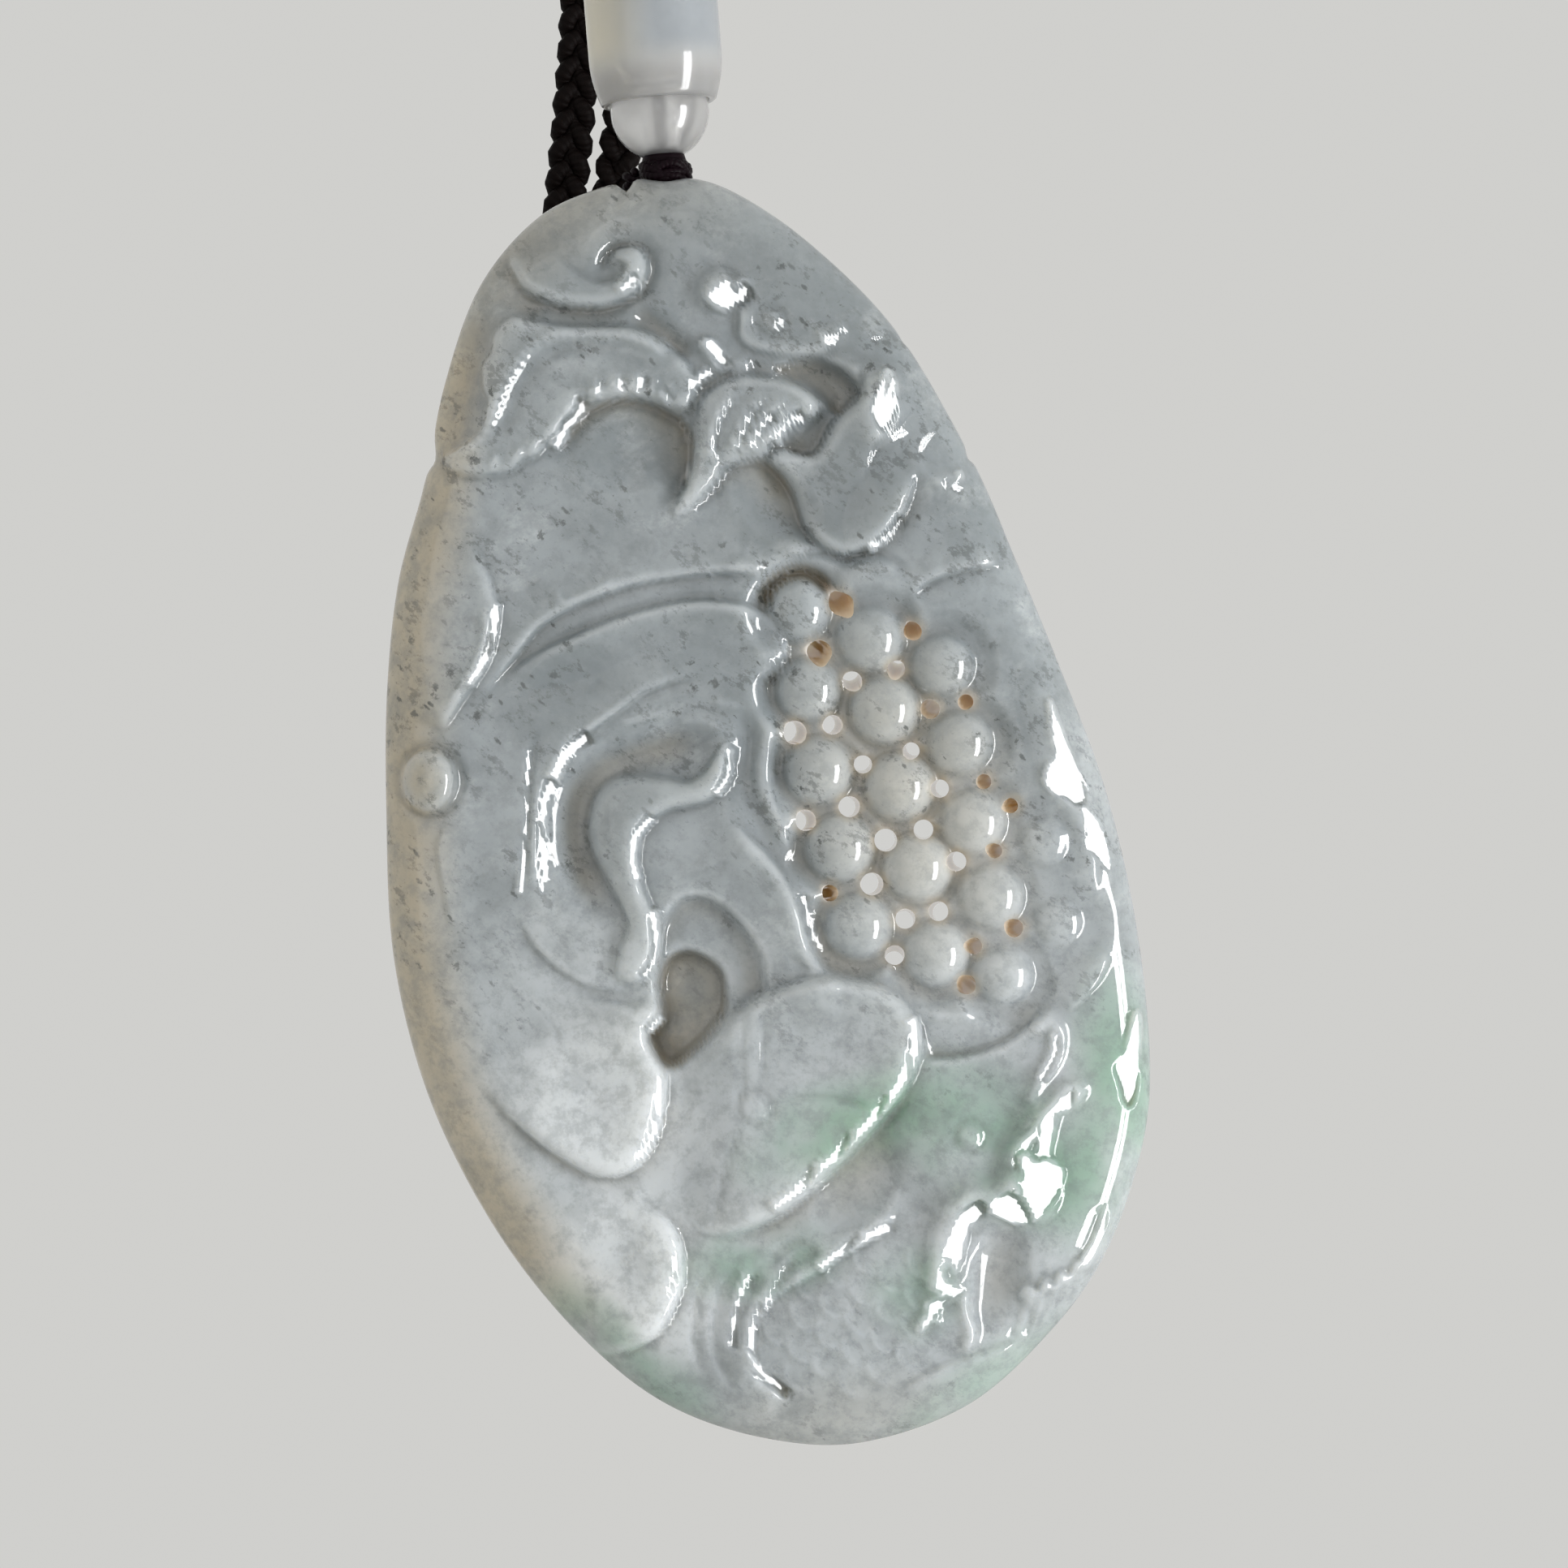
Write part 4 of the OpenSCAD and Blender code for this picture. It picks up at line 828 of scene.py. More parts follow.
def edge_reach(direction):
    """Distance of the stone's edge from its middle in a direction, and how deep a nick it has there."""
    edge = smooth(OUTLINE, closed=True, steps=12) - MIDDLE
    angle = np.arctan2(edge[:, 1], edge[:, 0])
    order = np.argsort(angle)
    reach = np.interp(direction, angle[order], np.hypot(edge[:, 0], edge[:, 1])[order], period=2 * np.pi)
    nick = np.zeros_like(reach)
    for place, depth, half_width in EDGE_NICKS:
        to = np.arctan2(*(np.array(place) - MIDDLE)[::-1])
        away = np.angle(np.exp(1j * (direction - to))) / math.radians(half_width)
        nick = nick + depth * np.exp(-(away**2))
    return reach - nick, nick


def inset_at(x, y):
    """How far in from the stone's edge each place lies, and how deep a nick the edge has beside it."""
    reach, nick = edge_reach(np.arctan2(y - MIDDLE[1], x - MIDDLE[0]))
    return reach - np.hypot(x - MIDDLE[0], y - MIDDLE[1]), nick


def strip_planes():
    """The planes of STRIPS in a row along each line, as how far they lean right and up, and their outlines.

    They meet in joints that slant, so that each plane ends in a point beside the next one's start.
    """
    for pane, half, points in STRIPS:
        line, along = even_steps(smooth(points, steps=4), STRIP_STEP)
        way = np.gradient(line, axis=0)
        beside = np.stack((-way[:, 1], way[:, 0]), 1) / np.hypot(*way.T)[:, None] * half
        joints = np.linspace(0, len(line), max(1, round(along[-1] / STRIP_PLANE)) + 1).round().astype(int)
        left, right = joints.copy(), joints.copy()
        left[1:-1] += STRIP_SLANT
        right[1:-1] -= STRIP_SLANT
        for a, b, c, d in zip(left[:-1], left[1:], right[:-1], right[1:]):
            lean = np.array(PANE_LEAN) + np.array(PANE_LEAN_PER_MM) * line[c:b].mean(0)
            yield (lean[0], lean[1] + (LOWER_PANE_LEAN if pane < 0 else 0),
                   np.vstack(((line + beside)[a:b], (line - beside)[c:d][::-1])))


def faceted(relief, heights):
    """The heights with every outline of FACETS and STRIPS polished to a plane through the mean height in it.

    The plane holds for the finished surface, so the fall towards the stone's edge is taken out of it again.
    A second map says how far each place belongs to such a plane.
    """
    heights, flat = heights.copy(), np.zeros_like(heights)
    for right, upward, points in (*FACETS, *strip_planes()):
        loop = smooth(points, closed=True, steps=3)
        part, x, y = relief.window(loop, FACET_MARGIN)
        away = nearest(np.vstack((loop, loop[:1])), x, y)[0]
        share = ease(0.5 + (np.where(inside(loop, x, y), away, -away) + FACET_GROWN) / FACET_EDGE)
        fall = shoulder(inset_at(x, y)[0] / FRONT_ROUND)
        whole = (GROUND_W - FRONT_EDGE_W + heights[part]) * fall
        centre = [np.average(q, weights=share) for q in (x, y, whole)]
        plane = centre[2] - right * (x - centre[0]) - upward * (y - centre[1])
        wanted = plane / np.maximum(fall, LEAST_FALL) - (GROUND_W - FRONT_EDGE_W)
        heights[part] += share * (wanted - heights[part])
        flat[part] = np.maximum(flat[part], share)
    return heights, flat


def placed(across, up, w):
    """Places in the stone's plane and heights over its back, as points of the frame in mm."""
    dx, dy = across - HOLE_AT[0], up - HOLE_AT[1]
    c, s = math.cos(STONE_TURN), math.sin(STONE_TURN)
    return np.stack((dx * c + dy * s, BACK_Y - w, STONE_TOP_Z + dy * c - dx * s), -1)


def in_plane(points):
    """The places across and up and the heights over the back of points of the frame, in mm."""
    x, z = points[:, 0], points[:, 2] - STONE_TOP_Z
    c, s = math.cos(STONE_TURN), math.sin(STONE_TURN)
    return HOLE_AT[0] + x * c - z * s, HOLE_AT[1] + x * s + z * c, BACK_Y - points[:, 1]


def face_height(relief, heights, across, up, inset, nick):
    """Height of the carved face over the back, brought down to the side wall over a rounded edge.

    A nick in the edge is forgotten within a millimetre of it.
    """
    inset = inset + nick * (1 - np.exp(-inset / NICK_REACH))
    carved = GROUND_W + relief.look_up(heights, across, up)
    return FRONT_EDGE_W + (carved - FRONT_EDGE_W) * shoulder(inset / FRONT_ROUND)


def stone_mesh(relief, heights, across_cells, up_cells):
    """Points and faces of the stone.

    The face is a square grid bent onto the outline: each coordinate is shortened by the root of one less
    half the square of the other, and then stretched by the edge's distance in that direction. Rings of
    the same points carry it over the front edge, down the wall, round the back edge and to the back's middle.
    """
    a, b = np.meshgrid(np.linspace(-1, 1, across_cells + 1), np.linspace(-1, 1, up_cells + 1), indexing="ij")
    qx, qy = a * np.sqrt(1 - b * b / 2), b * np.sqrt(1 - a * a / 2)
    reach, nick = edge_reach(np.arctan2(qy, qx))
    x, y = MIDDLE[0] + qx * (reach - GRID_BORDER), MIDDLE[1] + qy * (reach - GRID_BORDER)
    inset = reach - np.hypot(qx, qy) * (reach - GRID_BORDER)
    face = placed(x, y, face_height(relief, heights, x, y, inset, nick)).reshape(-1, 3)
    ids = np.arange(face.shape[0]).reshape(x.shape)
    rim = np.concatenate((ids[:-1, 0], ids[-1, :-1], ids[:0:-1, -1], ids[0, :0:-1]))
    qx, qy = qx.ravel()[rim], qy.ravel()[rim]
    unit = np.stack((qx, qy), 1) / np.hypot(qx, qy)[:, None]
    reach, nick = edge_reach(np.arctan2(qy, qx))

    def ring(inset, w=None):
        p = MIDDLE + unit * (reach - inset)[:, None]
        height = np.full(len(p), w) if w is not None else face_height(relief, heights, *p.T, inset, nick)
        return placed(p[:, 0], p[:, 1], height)

    rings = [ring(inset) for inset in EDGE_RINGS]
    rings += [ring(0.0, w) for w in (FRONT_EDGE_W, (FRONT_EDGE_W + RIM_W) / 2)]
    rings += [ring(BACK_ROUND * (1 - math.cos(t)), RIM_W * (1 - math.sin(t)))
              for t in np.radians(range(0, 91, 15))]
    rings += [placed(*(MIDDLE + unit * (reach - BACK_ROUND)[:, None] * k).T, np.zeros(len(reach)))
              for k in BACK_RINGS]
    count = len(rim)
    middle = placed(MIDDLE[:1], MIDDLE[1:], np.zeros(1))
    points = np.vstack((face, *rings, middle))
    faces = [grid_faces(*x.shape)]
    first = np.stack((rim, np.roll(rim, -1)), 1)
    start = len(face) + np.arange(len(rings))[:, None] * count + np.arange(count)
    joined = [first] + [np.stack((row, np.roll(row, -1)), 1) for row in start]
    faces += [np.hstack((upper, lower[:, ::-1])) for upper, lower in zip(joined[:-1], joined[1:])]
    hub = np.full(count, len(points) - 1)
    fan = np.stack((start[-1], np.roll(start[-1], -1), hub), 1)
    return points, np.vstack(faces), fan


def cylinder(start, end, radius, sides=28):
    """Points and faces of a closed round bar from one point to another."""
    way = (end - start) / np.linalg.norm(end - start)
    side = np.cross(way, (0.3, 0.1, 0.9))
    side /= np.linalg.norm(side)
    other = np.cross(way, side)
    turn = np.linspace(0, 2 * np.pi, sides, endpoint=False)[:, None]
    ring = radius * (np.cos(turn) * side + np.sin(turn) * other)
    points = np.vstack((start + ring, end + ring))
    walls = [[k, (k + 1) % sides, sides + (k + 1) % sides, sides + k] for k in range(sides)]
    return points, walls + [list(range(sides))[::-1], list(range(sides, 2 * sides))]


def cut(obj, bars):
    """Takes each round bar out of an object and leaves the mesh with the cuts in it."""
    points, faces = [], []
    for bar_points, bar_faces in bars:
        faces += [[len(points) + k for k in face] for face in bar_faces]
        points += bar_points.tolist()
    cutter = add_mesh("cutter", np.array(points), faces)
    mesh = cutter.data
    change = obj.modifiers.new("cut", "BOOLEAN")
    change.operation = "DIFFERENCE"
    change.solver = "EXACT"
    change.object = cutter
    bpy.context.view_layer.objects.active = obj
    bpy.ops.object.modifier_apply(modifier=change.name)
    bpy.data.objects.remove(cutter)
    bpy.data.meshes.remove(mesh)


def gap_bars():
    """The bars that pierce the stone between its seeds: axis point, direction and radius of each.

    Each leans about its place in the bed of the seeds.
    """
    c, s = math.cos(STONE_TURN), math.sin(STONE_TURN)
    for across, up, radius, lean_across, lean_up in GAPS:
        p, q = math.radians(lean_across), math.radians(lean_up)
        x, y, z = -math.cos(q) * math.sin(p), -math.cos(q) * math.cos(p), -math.sin(q)
        way = np.array((x * c - z * s, y, x * s + z * c))
        yield placed(np.array(across), np.array(up), np.array(GAP_PIVOT_W)), way, radius


def gap_walls(mesh, points, bars):
    """For each corner of the mesh its vertex, its edge, and whether its face is the wall of a bar's cut.

    A face is such a wall if all its corners are as far from the bar's axis as the bar's radius.
    """
    corners = np.empty(len(mesh.loops), np.int64)
    edges = np.empty(len(mesh.loops), np.int64)
    size = np.empty(len(mesh.polygons), np.int64)
    mesh.loops.foreach_get("vertex_index", corners)
    mesh.loops.foreach_get("edge_index", edges)
    mesh.polygons.foreach_get("loop_total", size)
    face = np.repeat(np.arange(len(size)), size)
    wall = np.zeros(len(size), bool)
    for point, way, radius in bars:
        beside = points - point
        away = np.linalg.norm(beside - np.outer(beside @ way, way), axis=1)
        off = np.abs(away - radius) > WALL_NEAR
        wall |= np.bincount(face, off[corners], len(size)) == 0
    return corners, edges, wall[face]


def face_at(relief, heights, x, y):
    """Height of the carved face over the back at places of the stone's plane, and how far in they are."""
    inset, nick = inset_at(x, y)
    return face_height(relief, heights, x, y, inset, nick), inset


def face_directions(relief, heights, flat, points):
    """The direction that the carving faces at each point, or zero where the point isn't on the face.

    It is square to the slopes of the carving across and up, taken over a short way on polished planes and
    over a longer one elsewhere.
    """
    x, y, w = in_plane(points)
    height, inset = face_at(relief, heights, x, y)

    def slope(dx, dy):
        rise = face_at(relief, heights, x + dx, y + dy)[0] - face_at(relief, heights, x - dx, y - dy)[0]
        return rise / (2 * (dx + dy))

    carved, polished = (np.stack((slope(step, 0), slope(0, step))) for step in (SLOPE_STEP, PLANE_STEP))
    across, up = carved + relief.look_up(flat, x, y) * (polished - carved)
    c, s = math.cos(STONE_TURN), math.sin(STONE_TURN)
    way = np.stack((-across * c - up * s, np.full(len(x), -1.0), across * s - up * c), 1)
    way /= np.linalg.norm(way, axis=1)[:, None]
    return way * ((np.abs(w - height) < ON_FACE) & (inset > MESH_SHADED))[:, None]


def sharpen_cuts(mesh, edges, wall):
    """Marks as sharp each edge between the wall of a cut and the rest of the surface."""
    rows = np.bincount(edges, wall, len(mesh.edges))
    sharp = np.zeros(len(mesh.edges), bool)
    mesh.edges.foreach_get("use_edge_sharp", sharp)
    mesh.edges.foreach_set("use_edge_sharp", sharp | (rows == 1))


def patches(x, y, rows):
    """Soft oval patches added up, each one less the distance squared, to a power, times its amount."""
    total = np.zeros(len(x))
    for px, py, wide, high, turn, amount in rows:
        t = math.radians(turn)
        dx, dy = x - px, y - py
        far = ((dx * math.cos(t) + dy * math.sin(t)) / wide) ** 2
        far += ((dy * math.cos(t) - dx * math.sin(t)) / high) ** 2
        total += amount * np.clip(1 - far, 0, 1) ** 1.5
    return np.clip(total, 0, 1)


def tint_values(relief, sunk, painted_light_and_shade, points):
    """For each point from 0 to 1: painted light that comes through from behind, green and milky, and then how
    smoky it is and its painted light and shade on edges, flanks and grooves.

    The painted light from behind is warmer in colour: it falls in sunk places, taken from the map, on the thin
    left rim, in the cob's bed and round the pierced gaps. The stone grows milky from its middle down. Where it
    is green, milky or smoky besides, and more or less of that painted light, is a matter of soft patches.
    """
    x, y, _ = in_plane(points)
    inset = sum(inset_at(x, y))
    # painted light shining through from behind, warmer in colour: along the thin left rim, in sunk places and
    # the cob's bed
    rim = 1.4 * ease(1 - inset / 6.0) * ease((2 - x) / 16) * ease((y + 36) / 10)
    rim *= 1 - 0.7 * ease((y - 22) / 12)
    painted_warm_light = ease(relief.look_up(sunk, x, y) / 1.9 - 0.1) + rim
    painted_warm_light += patches(x, y, ((9.5, 0.5, 9, 15, 18, 0.42), (4, -40, 10, 4, 10, 0.2)))
    painted_warm_light = np.clip(painted_warm_light, 0, 1) - patches(x, y, ((-5, -13, 4, 5, 0, 0.3), (4.2, 27, 4, 4, 0, 0.3)))
    # painted light round each pierced gap
    for across, up, radius, *_ in GAPS:
        painted_warm_light += 0.45 * ease(1 - (np.hypot(x - across, y - up) - radius) / 0.55)
    green = patches(x, y, ((4, -21, 8, 4, 20, 0.9), (14, -21.5, 10, 6, -25, 0.9), (23, -18, 4, 10, 5, 0.9),
                           (-0.5, -29.6, 7, 3, 8, 1.0), (9.5, -31.5, 4, 4, 0, 0.6),
                           (-12, -34, 6, 3, -40, 0.8), (-7.5, -38, 6, 3, -30, 0.6), (14, -38, 9, 3, 35, 0.5),
                           (20, -25, 5, 5, 0, 0.5)))
    milk = 0.5 * ease((6 - y) / 30) * (1 - 0.3 * ease((-26 - y) / 10))
    milk += patches(x, y, ((-10.5, -19, 8, 7, -30, 0.95), (-9, -31, 8, 8, -50, 0.95), (8, 4, 9, 13, 20, 0.2),
                           (14, -6, 10, 9, 0, 0.2), (2, -22, 9, 6, 40, 0.05), (-21, 12, 5, 8, 5, 0.3),
                           (-13, 28, 7, 4, 20, 0.15), (21, 3, 4, 9, 15, 0.3), (-14, -9, 7, 5, -20, 0.25),
                           (15, -37, 7, 4, 30, 0.15), (-2, -10, 3, 3, 0, 0.35), (21, -20, 4, 8, 5, 0.25)))
    smoke = patches(x, y, ((5.5, 22, 6, 7, 0, 0.9), (-12, 36, 8, 4, 10, 0.55), (-1, 36.5, 9, 5, -25, 0.7),
                           (2, 31, 7, 5, 0, 0.5), (0, 19, 6, 4, -30, 0.5), (-6, 11, 9, 4, 20, 0.4),
                           (-3, -2, 5, 6, 0, 0.3), (-19, -7, 4, 5, 0, 0.3), (-9, 24, 5, 3, 0, 0.4)))
    # painted light on edges and flanks above 0.5, painted shade in narrow grooves below it
    painted_light_level = 0.5 + relief.look_up(painted_light_and_shade, x, y) / 0.6
    return (np.clip(np.stack((painted_warm_light, green, milk), 1), 0, 1), np.clip(np.stack((smoke, painted_light_level), 1), 0, 1))


# Materials

class Nodes:
    """A material's nodes, added one by one and linked by name."""

    def __init__(self, name):
        self.material = bpy.data.materials.new(name)
        self.material.use_nodes = True
        self.tree = self.material.node_tree
        self.shader = self.tree.nodes["Principled BSDF"]

    def add(self, kind, inputs=None, **settings):
        """Adds a node. inputs maps a socket's name or number to a value or to another node's output."""
        node = self.tree.nodes.new(kind)
        for key, value in settings.items():
            setattr(node, key, value)
        self.set(node, inputs or {})
        return node

    def set(self, node, inputs):
        """Sets a node's sockets to values, or links them to outputs."""
        for key, value in inputs.items():
            if isinstance(value, bpy.types.NodeSocket):
                self.tree.links.new(value, node.inputs[key])
            else:
                node.inputs[key].default_value = value

    def place(self, stretch=(1, 1, 1), turn=(0, 0, 0)):
        """Places on the object. What is drawn on them comes out stretched along turned axes."""
        coords = self.add("ShaderNodeTexCoord")
        return self.add("ShaderNodeMapping", {"Vector": coords.outputs["Object"], "Scale": stretch,
                                              "Rotation": turn}, vector_type="TEXTURE").outputs[0]

    def parts(self, attribute):
        """The three values of a colour attribute of the piece."""
        node = self.add("ShaderNodeAttribute", attribute_name=attribute)
        return self.add("ShaderNodeSeparateColor", {0: node.outputs["Color"]}).outputs

    def noise(self, vector, scale, detail=2.0, rough=0.5):
        """A cloud of noise, a value from 0 to 1."""
        return self.add("ShaderNodeTexNoise", {"Vector": vector, "Scale": scale, "Detail": detail,
                                               "Roughness": rough}).outputs["Fac"]

    def shaken(self, vector, noise, amount):
        """Places moved about by the three values of a noise, so that what is drawn on them gets ragged."""
        return self.add("ShaderNodeVectorMath", {0: noise, 1: (amount,) * 3, 2: vector},
                        operation="MULTIPLY_ADD").outputs[0]

    def spots(self, vector, scale, share, size):
        """Scattered spots, one in each cell that the lot gives one, their size drawn by lot up to size."""
        cells = self.add("ShaderNodeTexVoronoi", {"Vector": vector, "Scale": scale})
        lot = self.add("ShaderNodeSeparateColor", {0: cells.outputs["Color"]}).outputs[0]
        reach = self.math("ADD", self.math("MULTIPLY", self.ramp(lot, 1 - share, 1.0), size), 0.001)
        return self.ramp(cells.outputs["Distance"], reach, self.math("MULTIPLY", reach, 0.45))

    def ramp(self, value, low, high):
        """The value stretched so that low becomes 0 and high becomes 1."""
        return self.add("ShaderNodeMapRange", {"Value": value, "From Min": low, "From Max": high},
                        interpolation_type="SMOOTHSTEP").outputs[0]

    def math(self, operation, a, b, clamp=True):
        """Two values joined by a sum, product or the like. With clamp it is kept between 0 and 1."""
        return self.add("ShaderNodeMath", {0: a, 1: b}, operation=operation, use_clamp=clamp).outputs[0]

    def mix(self, share, a, b, blend="MIX"):
        """One colour turned into another by a share."""
        node = self.add("ShaderNodeMix", data_type="RGBA", blend_type=blend)
        self.set(node, {0: share, 6: a, 7: b})
        return node.outputs[2]

    def bump(self, height, strength, distance):
        """Links a height to the shader as a bump of this depth in metres."""
        node = self.add("ShaderNodeBump", {"Height": height, "Strength": strength, "Distance": distance})
        self.set(self.shader, {"Normal": node.outputs[0]})


def rgba(colour):
    """A colour with full cover."""
    return (*colour, 1.0)


def jade_material(look):
    """Polished grey jade: grey clouds, veils, milky, green and smoky zones, dark flecks, and painted light.

    Sunk places and the pierced gaps' walls get painted light in a warmer colour, for light that shines through
    from behind. Edges and flanks get painted light and are paler, and narrow grooves get painted shade and are
    darker.
    """
    n = Nodes("polished_jade")
    place = n.place()
    # painted light from behind in a warmer colour, then green and milky zones
    painted_warm_light, green, milk = n.parts("stone_tint")
    # the walls of the pierced gaps for their painted light, the smoky zones, and the painted light and shade
    # of edges, flanks and grooves
    gap, smoke, painted_light_and_shade = n.parts("stone_smoke_and_painted_light")
    clouds = n.ramp(n.noise(place, 90, 5, 0.62), 0.32, 0.68)
    wisps = n.noise(n.place((1, 1, 0.45), (0, 0.6, 0)), 330, 5, 0.7)
    veils = n.ramp(n.noise(n.place((1, 1, 0.6), (0, -0.5, 0)), 170, 6, 0.68), 0.52, 0.74)
    mottle = n.noise(place, 900, 5, 0.72)
    blotches = n.ramp(n.noise(place, 150, 3, 0.6), 0.2, 0.6)
    patchy = n.ramp(n.noise(n.place((1, 1, 0.7), (0, 0.9, 0)), 300, 5, 0.65), 0.45, 0.66)
    # the colour is turned a little towards each of these in turn: where, how much and to what
    layers = (
        (n.ramp(wisps, 0.46, 0.72), 0.35, look.pale), (milk, 1.0, look.milk), (veils, 0.4, look.milk),
        (n.math("MULTIPLY", green, blotches), 0.9, look.green), (smoke, 0.6, look.smoke),
        # first on this line: painted light from behind, warmer in colour, in sunk places, on the thin rim, in
        # the cob's bed and round the gaps
        (painted_warm_light, 0.8, look.tan), (patchy, 0.25, look.smoke), (n.ramp(mottle, 0.42, 0.66), 0.34, look.smoke),
        # painted light on edges and flanks, and painted shade in narrow grooves
        (n.ramp(painted_light_and_shade, 0.54, 0.95), 0.24, look.milk), (n.ramp(painted_light_and_shade, 0.44, 0.1), 0.15, look.smoke),
    )
    colour = n.mix(clouds, rgba(look.grey), rgba(look.pale))
    for share, amount, wanted in layers:
        colour = n.mix(n.math("MULTIPLY", share, amount), colour, rgba(wanted))
    # dark flecks: crowds of fine grains, ragged spots and short streaks, thicker here and thinner there
    where = n.ramp(n.noise(place, 110, 4, 0.6), 0.36, 0.62)
    shake = n.add("ShaderNodeTexNoise", {"Vector": place, "Scale": 2300.0, "Detail": 4.0,
                                         "Roughness": 0.7}).outputs["Color"]
    crowd = n.ramp(n.noise(n.place((1, 1, 0.6), (0, 0.9, 0)), 380, 4, 0.6), 0.44, 0.66)
    grains = n.noise(n.place((1, 1, 0.6), (0, 0.7, 0)), 1500, 5, 0.74)
    grains = n.ramp(n.math("ADD", grains, n.math("MULTIPLY", crowd, 0.16)), 0.60, 0.72)
    spots = n.spots(n.shaken(place, shake, 0.0013), 760, 0.40, 0.34)
    streaks = n.spots(n.shaken(n.place((1, 1, 0.4), (0, 0.9, 0)), shake, 0.0010), 620, 0.3, 0.28)
    flecks = n.math("ADD", n.math("MULTIPLY", n.math("MAXIMUM", spots, streaks), 0.8),
                    n.math("MULTIPLY", grains, 0.5))
    flecks = n.math("MULTIPLY", flecks, n.math("MULTIPLY", n.math("ADD", where, 0.3), 0.82))
    flecks = n.math("MULTIPLY", flecks, n.math("SUBTRACT", 1.0, n.ramp(milk, 0.1, 0.7)))
    colour = n.mix(flecks, colour, rgba(look.fleck))
    # painted light, warmer in colour, on the walls of the pierced gaps, for light that comes through them
    colour = n.mix(gap, colour, rgba(look.gap))
    n.set(n.shader, {"Base Color": colour, "IOR": 1.62, "Subsurface Weight": 0.9,
                     "Subsurface Radius": (1.0, 0.94, 0.82), "Subsurface Scale": 0.006})
    n.set(n.shader, {"Roughness": n.add("ShaderNodeMapRange", {"Value": wisps, "To Min": 0.03,
                                                               "To Max": 0.08}).outputs[0]})
    n.bump(n.noise(place, 420, 3, 0.5), 0.2, 0.00006)
    return n.material


def bead_material(name, colour, clear, cloud_scale, depth, inner_roughness, coat, thin=None, painted_warm_light=None):
    """Cloudy polished bead: a clear coat over a body that lets some light pass and scatters the rest.

    coat holds the coat's weight and roughness, thin two heights and how clear the body is at the lower one,
    where it has less colour too. The last argument is the colour of painted light on its left side.
    """
    n = Nodes(name)
    clouds = n.ramp(n.noise(n.place(), cloud_scale, 4, 0.6), 0.3, 0.7)
    paler = tuple(min(1.0, part * 1.12) for part in colour)
    body = n.mix(clouds, rgba(colour), rgba(paler))
    spot = n.add("ShaderNodeSeparateXYZ", {0: n.place()}).outputs
    # painted light on the bead's left side
    if painted_warm_light:
        body = n.mix(n.ramp(spot[0], 0.0005, -0.0045), body, rgba(painted_warm_light))
    if thin:
        below = n.ramp(spot[2], thin[1], thin[0])
        body = n.mix(below, body, rgba(thin[3]))
        clear = n.add("ShaderNodeMapRange", {"Value": below, "To Min": clear, "To Max": thin[2]}).outputs[0]
    n.set(n.shader, {"Base Color": body, "IOR": 1.54, "Roughness": inner_roughness,
                     "Transmission Weight": clear, "Subsurface Weight": 1.0,
                     "Subsurface Radius": (1.0, 0.98, 0.92), "Subsurface Scale": depth,
                     "Coat Weight": coat[0], "Coat Roughness": coat[1], "Coat IOR": 1.5})
    return n.material


def thread_material(name, colour, roughness, ply, depth, gloss, coat=0.0):
    """Fine twisted thread: slanting plies from the tube's own map, as wide as ply in mm.

    The plies are the sine of the way along the tube over ply plus the share of a turn round it, and their
    raised middles get painted light. gloss is the thread's specular.
    """
    n = Nodes(name)
    uv = n.add("ShaderNodeSeparateXYZ", {0: n.add("ShaderNodeUVMap", uv_map="uv").outputs[0]}).outputs
    wave = uv[1]
    for operation, by in (("MULTIPLY", 1.0 / ply), ("ADD", uv[0]), ("MULTIPLY", 2 * math.pi), ("SINE", 0.0)):
        wave = n.math(operation, wave, by, clamp=False)
    plies = n.ramp(wave, -1.0, 1.0)
    fuzz = n.noise(n.place(), 5200, 3, 0.7)
    # painted light: a lighter copy of the colour on the plies' raised middles
    painted_ply_light = tuple(part * 1.8 + 0.001 for part in colour)
    n.set(n.shader, {"Base Color": n.mix(n.math("MULTIPLY", plies, fuzz), rgba(colour), rgba(painted_ply_light)),
                     "Roughness": roughness, "Specular IOR Level": gloss,
                     "Coat Weight": coat, "Coat Roughness": 0.25})
    height = n.math("ADD", n.math("MULTIPLY", plies, 0.8), n.math("MULTIPLY", fuzz, 0.3))
    n.bump(height, 0.8, depth)
    return n.material


def plain_material(name, colour, roughness):
    """A plain even finish for the stage."""
    n = Nodes(name)
    n.set(n.shader, {"Base Color": rgba(colour), "Roughness": roughness, "Specular IOR Level": 0.2})
    return n.material


# Settings

def colour_property(name, description, default):
    """A colour that a user may change."""
    return FloatVectorProperty(name=name, description=description, default=default, size=3, min=0, max=1,
                               subtype="COLOR")


def number_property(name, description, default, unit="LENGTH"):
    """A length in metres, or a power in watts, that a user may change."""
    return FloatProperty(name=name, description=description, default=default, unit=unit)


